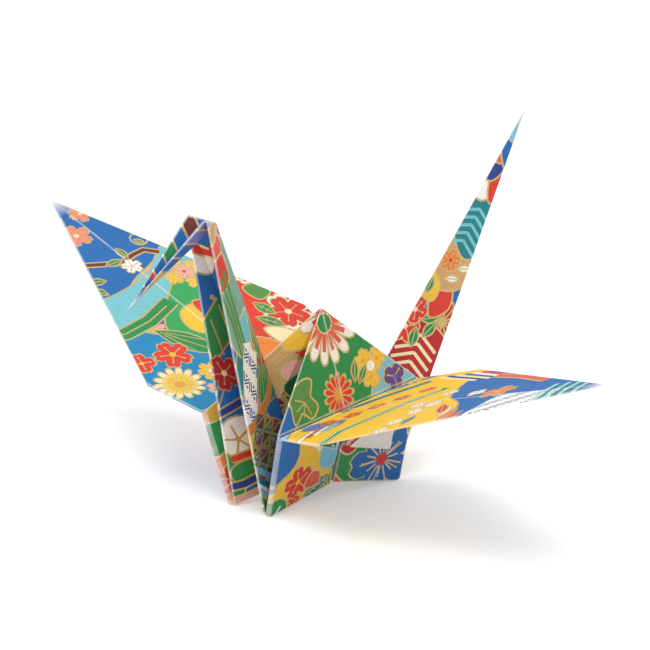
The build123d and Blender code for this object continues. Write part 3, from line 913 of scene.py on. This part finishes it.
# %% The body's front wall: waves, a yellow field and red blossoms
def front_wall_print():
    field("blue", (-9, 24), (0, 22), (6, 26), (4, 31), (-2, 31.6), (-8, 32))
    for x, y, turn in ((-3.4, 28, 0.2), (0.6, 27, 3.3)):
        waves(x, y, 3, 2.6, "pale cyan", turn)
    field("yellow", (-12, 33), (-7, 31.4), (-1, 31.8), (3, 34), (2, 40), (-3, 44), (-9, 43), (-14, 38))
    blossom(-6.9, 36.6, 3.7, "red", "yellow", 0.5)
    blossom(-11.4, 38.6, 2.6, "red", "yellow", 0.1)
    leaf(-9.4, 40.4, 0.7, 6.4, 2.6, "teal", 4)
    field("green", (-14.6, 32.6), (-11, 33), (-10.6, 36), (-13.4, 38), (-16.6, 36))
    stripe("white", 0.5, (-15.4, 35), (-11.6, 35.4))
    field("coral", (-7.6, 39.4), (-5, 39), (-4.4, 41), (-6.4, 42.4))
    blossom(1, 37.6, 2.4, "white", "pink", 0.3)
    field("sky", (-3, 40), (0.6, 39), (3, 42), (0, 45), (-3.4, 43.6))


# %% The body's rear wall: a blue flower with gold rays
def rear_wall_print():
    field("green", (39, -12), (46, -10), (49, -4), (46, 1), (40, 0))
    field("red", (44.6, -12), (49, -9), (50, -3), (46.4, -4))
    blossom(37, -9.2, 7.2, "blue", "red", 0.5)
    for k in range(14):
        ray(37, -9.2, 2 * math.pi * k / 14, 1.3, 4.6 if k % 2 else 3.4, 0.3)
    disc(37, -9.2, 1.0, "red")
    field("crimson", (39, -1.6), (42, -3), (44, 0), (42, 3), (39, 2.4))
    blossom(41.6, 0.4, 1.6, "pink", "red", 0.2)
    blossom(29.6, -14, 3.4, "salmon", "yellow", 0.8)


# %% The near wing: a yellow field, bands and a blue tip
def near_wing_print():
    field("yellow", (22, 38), (32, 28), (48, 22), (58, 24), (54, 44), (50, 58), (42, 72), (30, 78),
          (20, 62))
    field("blue", (51, 56), (50, 46), (55, 32), (66, 34), (78, 60), (78, 78), (52, 78), (47, 68))
    field("violet", (24, 39), (28, 38.6), (31, 40.6), (29, 43.6), (25.6, 43), (23, 42))
    for k, ink in enumerate(("white", "red", "white", "sky")):
        band(ink, 0.9, (22.4 + 1.5 * k, 49 - 1.2 * k), (25 + 1.5 * k, 43.6 - 0.8 * k))
    stripe("green", 1.9, (26, 56), (30, 49), (39, 43.4), (49, 37))
    for offset in (-0.5, 0.5):
        stripe("white", 0.25, (26.4 + offset, 55), (30 + offset, 49 + offset), (39, 43.4 + offset),
               (48, 37.4 + offset))
    for k in range(5):
        x, y = 28 + 4.4 * k, 39.6 - 1.5 * k
        blossom(x, y, 2.0, "red", "yellow", 0.9 * k)
    band("teal", 1.6, (30, 33), (38, 28.6), (46, 25.6))
    for x, y in ((44, 46.6), (46.6, 49.4), (43.4, 51), (39.6, 54.6), (37, 58), (49.6, 43)):
        blossom(x, y, 1.9, "white", "yellow", x)
    leaf(40.6, 58.6, 5.3, 5, 1.6, "teal")
    for k, ink in enumerate(("red", "orange", "cream", "red")):
        leaf(46.4 + 0.4 * k, 66 - 2.4 * k, 5.6 - 0.25 * k, 6.4, 1.8, ink)
    blossom(57.8, 54.6, 3.5, "orange", "yellow", 0.3)
    blossom(54.2, 50.2, 2.0, "white", "pink", 1.0, 4)


# %% The near wing's tip and its inner bands
def near_wing_tip_print():
    key_fret(58, 58, 0.78, 6, 4, 2.6, "white", "blue")
    for k in range(4):
        stripe("pale cyan", 0.9, (62.4 + 2.4 * k, 70.6 + 0.8 * k), (67.6 + 2.0 * k, 62.6 + 1.6 * k))
        stripe("teal", 0.9, (63.6 + 2.4 * k, 71 + 0.8 * k), (68.8 + 2.0 * k, 63 + 1.6 * k))
    for k, ink in enumerate(("cream", "deep blue", "cream", "blue", "white", "red")):
        stripe(ink, 0.9, (47.6 + 1.5 * k, 24 + 1.2 * k), (54 + 1.2 * k, 37 + 0.8 * k))
    band("coral", 1.5, (57.6, 38), (62, 46), (66, 56))
    band("yellow", 0.9, (60.6, 38), (65, 47), (69, 58))


# %% The neck's near side: petals, water grass, a key pattern and a lattice
def neck_near_print():
    field("sky", (-62, 62), (-57, 59.6), (-54, 60), (-54.6, 64), (-60, 68))
    field("sage", (-57, 60), (-55, 52), (-44, 43), (-39, 47), (-42, 54), (-51, 62))
    field("coral", (-56.6, 58.6), (-53.6, 59.2), (-50, 62), (-53, 64), (-57, 62))
    field("red", (-54.6, 58.4), (-51.4, 55.6), (-48.6, 56.4), (-49, 59), (-52, 60.4))
    field("cyan", (-47, 48), (-44, 45.4), (-40, 45.6), (-40.6, 48.6), (-44.6, 50.4))
    for k in range(3):
        stripe("leaf", 0.7, (-52 + 1.3 * k, 57.6 + 0.6 * k), (-46.6 + 1.3 * k, 52.6),
               (-41 + 1.2 * k, 47.6))
    key_fret(-42.4, 44.2, -0.28, 7, 2, 2.2, "white", "deep blue")
    field("deep blue", (-44, 44), (-42.6, 43), (-40.8, 44.4), (-42.4, 46))
    grass(-47, 47.4, 5.6, 9.5, 3.2)
    grass(-39.6, 41.8, 5.9, 10, 3.0)
    band("orange", 1.3, (-44, 41), (-38, 37.4), (-33, 38.2), (-28, 41.4), (-25, 46))
    lattice(-30.6, 27, 4, 5, 2.8, ["dark green", "crimson", "teal", "ochre"])
    for k in range(5):
        stripe("teal" if k % 2 else "sky", 1.0, (-21 + 1.6 * k, 38.6), (-20 + 1.7 * k, 29))


# %% The neck's far side, seen in the groove, from the crown down
def neck_far_print():
    field("blue", (-64, 53), (-58, 53), (-54, 44), (-50, 33), (-40, 26), (-50, 24), (-62, 40))
    field("red", (-65.6, 52.8), (-62.6, 50), (-60, 52.6), (-61.6, 56))
    field("white", (-62.4, 50.4), (-60.6, 48.8), (-58.6, 50.8), (-60, 53))
    for x, y in ((-58, 45.2), (-57, 43.4)):
        disc(x, y, 0.55, "gold", 8)
    band("green", 5.4, (-59.6, 42), (-54.8, 40.4), (-48, 38.4))
    for k in range(3):
        stripe("gold", 0.36, (-58 + 3.2 * k, 43.6 - 1.2 * k), (-55.6 + 3.2 * k, 37 - 0.9 * k))
    blossom(-50, 33.6, 3.7, "crimson", "cream", 0.4)
    band("deep blue", 1.1, (-53, 27.6), (-47, 28), (-41, 28.6))
    field("white", (-48.6, 24.6), (-44.4, 26.6), (-40.4, 24.6), (-40.6, 20.4), (-44, 19.6), (-48, 20.6))
    for k in range(5):
        ray(-43.6, 22.8, 0.5 + 2 * math.pi * k / 5, 0.0, 2.8, 0.5)
    band("red", 1.0, (-48, 19.8), (-43.8, 19.6), (-39.6, 20.6))
    field("green", (-43, 18.6), (-38.6, 19.2), (-37.6, 17), (-42, 16.4))
    band("deep blue", 1.2, (-44, 15.2), (-38.6, 15.8), (-34, 17.4))
    field("pink", (-44, 12.6), (-38, 14), (-34, 14.4), (-36, 9), (-42, 8))


# %% The head, from the crown to the beak
def head_print():
    for side in (0, 1):
        inks = (("blue", "brown", "blue", "green", "blue", "red", "teal"),
                ("tan", "violet", "violet", "blue", "blue", "tan", "tan"))[side]
        for k, ink in enumerate(inks):
            along = 60.0 + 2.0 * k
            ends = ((-along - 4.4, along - 7.6), (-along - 1.2, along - 0.2))
            if side:
                ends = tuple((-y, -x) for x, y in ends)
            band(ink, 2.2, *ends)


# %% The tail, from the body to its tip
def tail_print():
    field("crimson", (34, -34), (40, -28), (48, -30), (50, -38), (44, -44), (36, -42))
    chevrons(41.6, -34.6, -0.9, 5, 1.7, 4.2, "cream")
    blossom(43, -42.6, 3.3, "red", "cream", 0.2)
    blossom(45.6, -45, 3.0, "red", "cream", 0.7)
    for x, y, turn in ((43.4, -38.6, 5.2), (46, -39.6, 5.8), (46.6, -42.6, 0.1)):
        leaf(x, y, turn, 3.4, 1.7, "green")
    field("red", (48, -43), (52, -43), (53.4, -47), (50.6, -49))
    field("tan", (50, -51), (50.4, -47.6), (55, -46), (57.6, -50), (56, -55), (52.6, -55))
    field("yellow", (46.8, -48.6), (49, -45.6), (51, -47.6), (50.6, -50.6), (48, -51))
    leaf(50.2, -49.6, 2.3, 3.0, 1.4, "green")
    blossom(54.2, -51.6, 2.4, "orange", "red", 0.4)
    for x, y in ((52.6, -48.6), (55.4, -49.6)):
        leaf(x, y, 0.4, 2.6, 1.1, "white")
    field("teal", (56, -57), (57, -51), (62, -52), (65, -58), (61.6, -62), (57.6, -60))
    chevrons(57.4, -54.4, -0.8, 5, 1.6, 3.6, "cyan")
    field("white", (61.4, -62.6), (62.6, -60.6), (65, -61.4), (64, -64))
    field("red", (64, -59.6), (67.4, -60.6), (67.6, -64), (65, -63.6))
    field("deep blue", (63.8, -65.6), (65.2, -63.6), (68, -65), (67, -68))
    field("coral", (66.4, -68.2), (67.6, -66.2), (69.4, -67.2), (69, -70))
    field("blue", (68.4, -64.6), (72, -66), (72, -72), (69, -71))
    field("sky", (70, -72), (71.4, -69), (76, -70), (76, -76), (71, -75))


# %% Print all of it
for part in (far_wing_print, far_wing_rear_print, groove_print, neck_near_print, front_wall_print,
             hump_print,
             rear_wall_print, near_wing_print, near_wing_tip_print, neck_far_print, head_print,
             tail_print):
    part()
print(len(shapes), "printed outlines")


# %% [markdown]
# ## Laying the print over the folded sheet
# The sheet's own triangles and all the outlines are cut against each other in the plane, by a
# constrained Delaunay triangulation. Each little cell then knows which triangle of the sheet it lies
# on, so it can be carried into space with it, and which outline lies on top, so it gets that ink.

# %% Trim the outlines to the sheet
def clip_to_sheet(outline):
    """The part of an outline on the sheet, so that no shape runs past its edge."""
    ring = outline
    for axis in (0, 1):
        for sign in (-1, 1):
            out = []
            for a, b in zip(ring, ring[1:] + ring[:1]):
                da, db = half - sign * a[axis], half - sign * b[axis]
                if da >= 0:
                    out.append(a)
                if da * db < 0:
                    out.append(between(a, b, da / (da - db)))
            ring = out
            if len(ring) < 3:
                return []
    return ring


# %% Cut the printed side
def printed_skin(points, flats, triangles):
    """The printed side, cut along creases and outlines, with each cell's ink and sheet triangle."""
    verts = [Vector(f) for f in flats]
    pieces = [list(t) for t in triangles]
    owner = list(range(len(pieces)))
    for k, (outline, _) in enumerate(shapes):
        ring = clip_to_sheet(outline)
        if len(ring) > 2:
            first = len(verts)
            verts += [Vector(p) for p in ring]
            pieces.append(list(range(first, first + len(ring))))
            owner.append(len(triangles) + k)
    spots, _, cells, _, _, origins = mathutils.geometry.delaunay_2d_cdt(verts, [], pieces, 1, 1e-5)
    place, made, inks, under = {}, [], [], []
    for cell, origin in zip(cells, origins):
        sources = [owner[k] for k in origin]
        base = [k for k in sources if k < len(triangles)]
        if not base:
            continue
        for k in cell:
            if k not in place:
                place[k] = carried(spots[k], base[0], points, flats, triangles)
        made.append(cell)
        inks.append(shapes[max(sources) - len(triangles)][1])
        under.append(base[0])
    return spots, place, made, inks, under


def carried(spot, number, points, flats, triangles):
    """A point of the flat sheet, carried into space with its triangle."""
    a, b, c = triangles[number]
    e, f, d = sub(flats[b], flats[a]), sub(flats[c], flats[a]), sub(spot, flats[a])
    turn = e[0] * f[1] - e[1] * f[0]
    u, v = (d[0] * f[1] - d[1] * f[0]) / turn, (e[0] * d[1] - e[1] * d[0]) / turn
    return add(add(points[a], sub(points[b], points[a]), u), sub(points[c], points[a]), v)


# %% Both sides of the paper
count = len(points)
back, front = skin_points[:count], skin_points[count:]
spots, place, cells, inks, under = printed_skin(front, flats, triangles)
number = {}
verts = list(back)
for k in place:
    number[k] = len(verts)
    verts.append(place[k])
printed = [tuple(number[k] for k in reversed(cell)) for cell in cells]
sheet_at = list(flats) + [tuple(spots[k]) for k in place]
polygons = [tuple(t) for t in triangles] + printed
sides = ["back"] * len(triangles) + inks
creased = [k >= flat_count for k in range(len(triangles))] + [k >= flat_count for k in under]
print(len(printed), "printed cells")

# %% [markdown]
# ## The cut edge of the sheet
# The back has few points along the sheet's edge and the printed side many. Each straight stretch of
# the rim is one polygon with the coarse edge on one side and the fine one on the other, so the paper
# is closed all round.

# %% The rim
loops = [(t[i], t[(i + 1) % 3]) for t in printed for i in range(3)]
known = set(loops)
border = {a: b for a, b in loops if (b, a) not in known}
start_of = {tuple(round(x, 3) for x in sheet_at[a]): a for a in border}
directed = {(t[i], t[(i + 1) % 3]) for t in triangles for i in range(3)}
for a, b in sorted(directed):
    if (b, a) in directed:
        continue
    chain = [start_of[tuple(round(x, 3) for x in flats[b])]]
    goal = start_of[tuple(round(x, 3) for x in flats[a])]
    while chain[-1] != goal:
        chain.append(border[chain[-1]])
    polygons.append((b, a) + tuple(reversed(chain)))
    sides.append("rim")
    creased.append(False)
print(sides.count("rim"), "stretches of rim")

# %% The crane's mesh
mesh = bpy.data.meshes.new("crane")
mesh.from_pydata([((p[0] - centre[0]) / 1000, (p[1] - centre[1]) / 1000,
                   (p[2] - low) / 1000) for p in verts],
                 [], polygons)
crane = bpy.data.objects.new("crane", mesh)
bpy.context.scene.collection.objects.link(crane)
uses = {}
for polygon in mesh.polygons:
    for key in polygon.edge_keys:
        uses[key] = uses.get(key, 0) + 1
print(len(mesh.vertices), "points,", len(mesh.polygons), "faces,", sum(n != 2 for n in uses.values()),
      "open edges")

# %% [markdown]
# ## Ink, creases and the flat pattern as attributes
# The finish needs to know three things at each point: the ink, whether it lies on a crease, and where
# it was on the flat sheet. The ink goes into a colour attribute, whose alpha is 0 where the ink is
# gold. The flat sheet is itself the best UV map: nothing is stretched on it, because paper doesn't
# stretch.

# %% Attributes
paper_colours = {"back": (242, 237, 228), "rim": (238, 230, 216)}
shades = {name: (*linear(rgb), 0.0 if name == "gold" else 1.0) for name,
          rgb in {**palette, **paper_colours}.items()}
mesh.uv_layers.new(name="sheet")
mesh.color_attributes.new("print", "FLOAT_COLOR", "CORNER")
mesh.attributes.new("crease", "FLOAT", "FACE")
uv_values, ink_values = [], []
for polygon, side in zip(polygons, sides):
    for k in polygon:
        uv_values += [sheet_at[k][0] / sheet_side + 0.5, sheet_at[k][1] / sheet_side + 0.5]
        ink_values += shades[side]
mesh.uv_layers["sheet"].data.foreach_set("uv", uv_values)
mesh.color_attributes["print"].data.foreach_set("color", ink_values)
mesh.attributes["crease"].data.foreach_set("value", [float(c) for c in creased])
print(len(uv_values) // 2, "corners coloured")

# %% [markdown]
# ## The finish of washi
# Washi is made of long mulberry fibres, so its surface is softly uneven, and ink takes to it in small
# variations. Gold ink is a little smoother and shines. Where the sheet is folded the print is rubbed,
# and handling pales the four corners of the sheet, which are the tips of beak, tail and wings. The
# fibres and the rubbing are shader node groups, so that each can be tuned or used again by itself.


# %% Node helpers
def node(tree, kind, x, y, **settings):
    made = tree.nodes.new(kind)
    made.location = (x, y)
    for name, value in settings.items():
        setattr(made, name, value)
    return made


def remap(tree, x, y, source, **limits):
    """A Map Range node on a source, with its limits given by name, such as To_Min."""
    made = node(tree, "ShaderNodeMapRange", x, y)
    for name, value in limits.items():
        made.inputs[name.replace("_", " ")].default_value = value
    tree.links.new(source, made.inputs["Value"])
    return made.outputs["Result"]


def group_of(name, *sockets):
    """An empty node group with its input and output sockets, and its two end nodes."""
    group = bpy.data.node_groups.new(name, "ShaderNodeTree")
    for label, kind, way in sockets:
        group.interface.new_socket(name=label, in_out=way, socket_type=kind)
    return group, node(group, "NodeGroupInput", -1000, 0), node(group, "NodeGroupOutput", 700, 0)


# %% Washi fibres: a group for height and tone
def washi_fibres():
    group, source, sink = group_of(
        "washi_fibres", ("Vector", "NodeSocketVector", "INPUT"), ("Fibre Scale", "NodeSocketFloat", "INPUT"),
        ("Height", "NodeSocketFloat", "OUTPUT"), ("Tone", "NodeSocketFloat", "OUTPUT"))
    heights_made = []
    for k, (turn, stretch) in enumerate(((0.5, (1, 6, 1)), (2.2, (1, 8, 1)))):
        lay = node(group, "ShaderNodeMapping", -700, 250 - 300 * k)
        lay.inputs["Rotation"].default_value = (0, 0, turn)
        lay.inputs["Scale"].default_value = stretch
        strands = node(group, "ShaderNodeTexNoise", -450, 250 - 300 * k)
        strands.inputs["Detail"].default_value = 3
        strands.inputs["Distortion"].default_value = 1.2
        group.links.new(source.outputs["Vector"], lay.inputs["Vector"])
        group.links.new(lay.outputs["Vector"], strands.inputs["Vector"])
        group.links.new(source.outputs["Fibre Scale"], strands.inputs["Scale"])
        heights_made.append(strands.outputs["Fac"])
    total = node(group, "ShaderNodeMath", -150, 150, operation="ADD")
    group.links.new(heights_made[0], total.inputs[0])
    group.links.new(heights_made[1], total.inputs[1])
    cloud = node(group, "ShaderNodeTexNoise", -450, -400)
    cloud.inputs["Scale"].default_value = 9
    cloud.inputs["Detail"].default_value = 4
    group.links.new(source.outputs["Vector"], cloud.inputs["Vector"])
    tone = node(group, "ShaderNodeMath", 100, -200, operation="MULTIPLY_ADD")
    group.links.new(cloud.outputs["Fac"], tone.inputs[0])
    tone.inputs[1].default_value = 0.6
    group.links.new(heights_made[0], tone.inputs[2])
    group.links.new(total.outputs[0], sink.inputs["Height"])
    group.links.new(tone.outputs[0], sink.inputs["Tone"])
    return group


# %% Rubbed creases and pale tips: a group for the wear mask
def rubbed_edges():
    group, source, sink = group_of(
        "rubbed_edges", ("Vector", "NodeSocketVector", "INPUT"), ("Crease", "NodeSocketFloat", "INPUT"),
        ("Crease Wear", "NodeSocketFloat", "INPUT"), ("Tip Reach", "NodeSocketFloat", "INPUT"),
        ("Wear", "NodeSocketFloat", "OUTPUT"))
    patchy = node(group, "ShaderNodeTexNoise", -750, 200)
    patchy.inputs["Scale"].default_value = 60
    patchy.inputs["Detail"].default_value = 3
    group.links.new(source.outputs["Vector"], patchy.inputs["Vector"])
    rub = node(group, "ShaderNodeMath", -450, 200, operation="MULTIPLY")
    group.links.new(patchy.outputs["Fac"], rub.inputs[0])
    group.links.new(source.outputs["Crease"], rub.inputs[1])
    strength = node(group, "ShaderNodeMath", -200, 200, operation="MULTIPLY")
    group.links.new(rub.outputs[0], strength.inputs[0])
    group.links.new(source.outputs["Crease Wear"], strength.inputs[1])
    middle_out = node(group, "ShaderNodeVectorMath", -750, -150, operation="SUBTRACT")
    middle_out.inputs[1].default_value = (0.5, 0.5, 0)
    group.links.new(source.outputs["Vector"], middle_out.inputs[0])
    spread = node(group, "ShaderNodeVectorMath", -550, -150, operation="ABSOLUTE")
    group.links.new(middle_out.outputs[0], spread.inputs[0])
    reach = node(group, "ShaderNodeVectorMath", -350, -150, operation="DOT_PRODUCT")
    reach.inputs[1].default_value = (1, 1, 0)
    group.links.new(spread.outputs[0], reach.inputs[0])
    tip = node(group, "ShaderNodeMapRange", -100, -150)
    tip.inputs["From Max"].default_value = 1.0
    group.links.new(reach.outputs["Value"], tip.inputs["Value"])
    group.links.new(source.outputs["Tip Reach"], tip.inputs["From Min"])
    both = node(group, "ShaderNodeMath", 300, 0, operation="MAXIMUM")
    group.links.new(strength.outputs[0], both.inputs[0])
    group.links.new(tip.outputs["Result"], both.inputs[1])
    group.links.new(both.outputs[0], sink.inputs["Wear"])
    return group


# %% Printed washi
def printed_washi():
    material = bpy.data.materials.new("printed_washi")
    material.use_nodes = True
    tree = material.node_tree
    skin = tree.nodes["Principled BSDF"]
    place_on_sheet = node(tree, "ShaderNodeUVMap", -1400, 0, uv_map="sheet")
    ink = node(tree, "ShaderNodeAttribute", -1400, 300, attribute_name="print")
    crease = node(tree, "ShaderNodeAttribute", -1400, -300, attribute_name="crease")
    fibres = node(tree, "ShaderNodeGroup", -1100, 0, node_tree=washi_fibres())
    fibres.inputs["Fibre Scale"].default_value = 55
    wear = node(tree, "ShaderNodeGroup", -1100, -300, node_tree=rubbed_edges())
    wear.inputs["Crease Wear"].default_value = 0.75
    wear.inputs["Tip Reach"].default_value = 0.955
    tree.links.new(place_on_sheet.outputs["UV"], fibres.inputs["Vector"])
    tree.links.new(place_on_sheet.outputs["UV"], wear.inputs["Vector"])
    tree.links.new(crease.outputs["Fac"], wear.inputs["Crease"])
    level = remap(tree, -850, 100, fibres.outputs["Tone"], From_Min=0.5, From_Max=1.1,
                  To_Min=0.86, To_Max=1.08)
    toned = node(tree, "ShaderNodeVectorMath", -600, 250, operation="SCALE")
    tree.links.new(ink.outputs["Color"], toned.inputs[0])
    tree.links.new(level, toned.inputs["Scale"])
    worn = node(tree, "ShaderNodeMix", -350, 200, data_type="RGBA")
    amount, first, second = worn.inputs[0], worn.inputs[6], worn.inputs[7]
    second.default_value = (*linear((240, 236, 228)), 1.0)
    tree.links.new(wear.outputs["Wear"], amount)
    tree.links.new(toned.outputs[0], first)
    tree.links.new(worn.outputs[2], skin.inputs["Base Color"])
    for y, socket, gold, paint in ((-100, "Roughness", 0.34, 0.62), (-350, "Metallic", 0.45, 0.0)):
        value = remap(tree, -350, y, ink.outputs["Alpha"], To_Min=gold, To_Max=paint)
        tree.links.new(value, skin.inputs[socket])
    relief = node(tree, "ShaderNodeBump", -350, -600)
    relief.inputs["Strength"].default_value = 0.25
    relief.inputs["Distance"].default_value = 0.0001
    tree.links.new(fibres.outputs["Height"], relief.inputs["Height"])
    tree.links.new(relief.outputs["Normal"], skin.inputs["Normal"])
    return material


mesh.materials.append(printed_washi())
print("material", mesh.materials[0].name, "on", crane.name)

# %% Tie the crane to the frame
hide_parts("folded_sheet")
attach(crane, "root")

# %% [markdown]
# ## Floor and light
# The crane stands on a plain pale floor under soft light. The floor is seen a little brighter than it
# is lit, by a glow that only the camera and mirrors see, so the ground is near white and the crane's
# shadow stays.

# %% Floor
bpy.ops.mesh.primitive_plane_add(size=6, location=(0, 0, 0))
floor = bpy.context.object
floor.name = "floor"
floor_finish = bpy.data.materials.new("floor")
floor_finish.use_nodes = True
tree = floor_finish.node_tree
tree.nodes["Principled BSDF"].inputs["Base Color"].default_value = (0.9, 0.9, 0.9, 1)
tree.nodes["Principled BSDF"].inputs["Roughness"].default_value = 1.0
rays = node(tree, "ShaderNodeLightPath", -600, -200)
seen = node(tree, "ShaderNodeMath", -400, -200, operation="MAXIMUM")
tree.links.new(rays.outputs["Is Camera Ray"], seen.inputs[0])
tree.links.new(rays.outputs["Is Glossy Ray"], seen.inputs[1])
glow = node(tree, "ShaderNodeEmission", 0, -300)
level = node(tree, "ShaderNodeMath", -200, -300, operation="MULTIPLY")
level.inputs[1].default_value = 0.3
tree.links.new(seen.outputs[0], level.inputs[0])
tree.links.new(level.outputs[0], glow.inputs["Strength"])
total = node(tree, "ShaderNodeAddShader", 200, 0)
tree.links.new(tree.nodes["Principled BSDF"].outputs[0], total.inputs[0])
tree.links.new(glow.outputs[0], total.inputs[1])
tree.links.new(total.outputs[0], tree.nodes["Material Output"].inputs["Surface"])
floor.data.materials.append(floor_finish)

# %% Soft light
world = bpy.data.worlds.new("studio")
bpy.context.scene.world = world
world.use_nodes = True
world.node_tree.nodes["Background"].inputs["Color"].default_value = (1, 1, 1, 1)
world.node_tree.nodes["Background"].inputs["Strength"].default_value = 0.72
lamp = bpy.data.lights.new("window", "AREA")
lamp.size = 0.5
lamp.energy = 3.2
lamp_at = Vector((0.25, 0.1, 0.75))
window = bpy.data.objects.new("window", lamp)
window.location = lamp_at
window.rotation_euler = lamp_at.to_track_quat("Z", "Y").to_euler()
bpy.context.scene.collection.objects.link(window)

# %% [markdown]
# ## Camera
# The camera looks down a little from the side that the neck leans to, with a long lens, so that the
# crane's lines stay nearly parallel. It is turned by two degrees about its own axis.

# %% Camera
azimuth, elevation, roll = math.radians(44.07), math.radians(16.2), math.radians(2.1)
distance = 0.602
towards = Vector((math.cos(elevation) * math.cos(azimuth), math.cos(elevation) * math.sin(azimuth),
                  math.sin(elevation)))
right = Vector((0, 0, 1)).cross(towards).normalized()
up = towards.cross(right)
look_height = 26.25           # mm above the form's zero
aim = Vector((-centre[0], -centre[1], look_height - low)) / 1000 + right * 0.00292 + up * 0.0038
cam_data = bpy.data.cameras.new("camera")
cam_data.sensor_width = 36
cam_data.lens = 197
cam = bpy.data.objects.new("camera", cam_data)
cam.location = aim + towards * distance
cam.rotation_euler = towards.to_track_quat("Z", "Y").to_euler()
cam.rotation_euler.rotate_axis("Z", roll)
bpy.context.scene.collection.objects.link(cam)
bpy.context.scene.camera = cam
bpy.context.scene.view_settings.view_transform = "Standard"
print("camera", [round(x, 3) for x in cam.location])
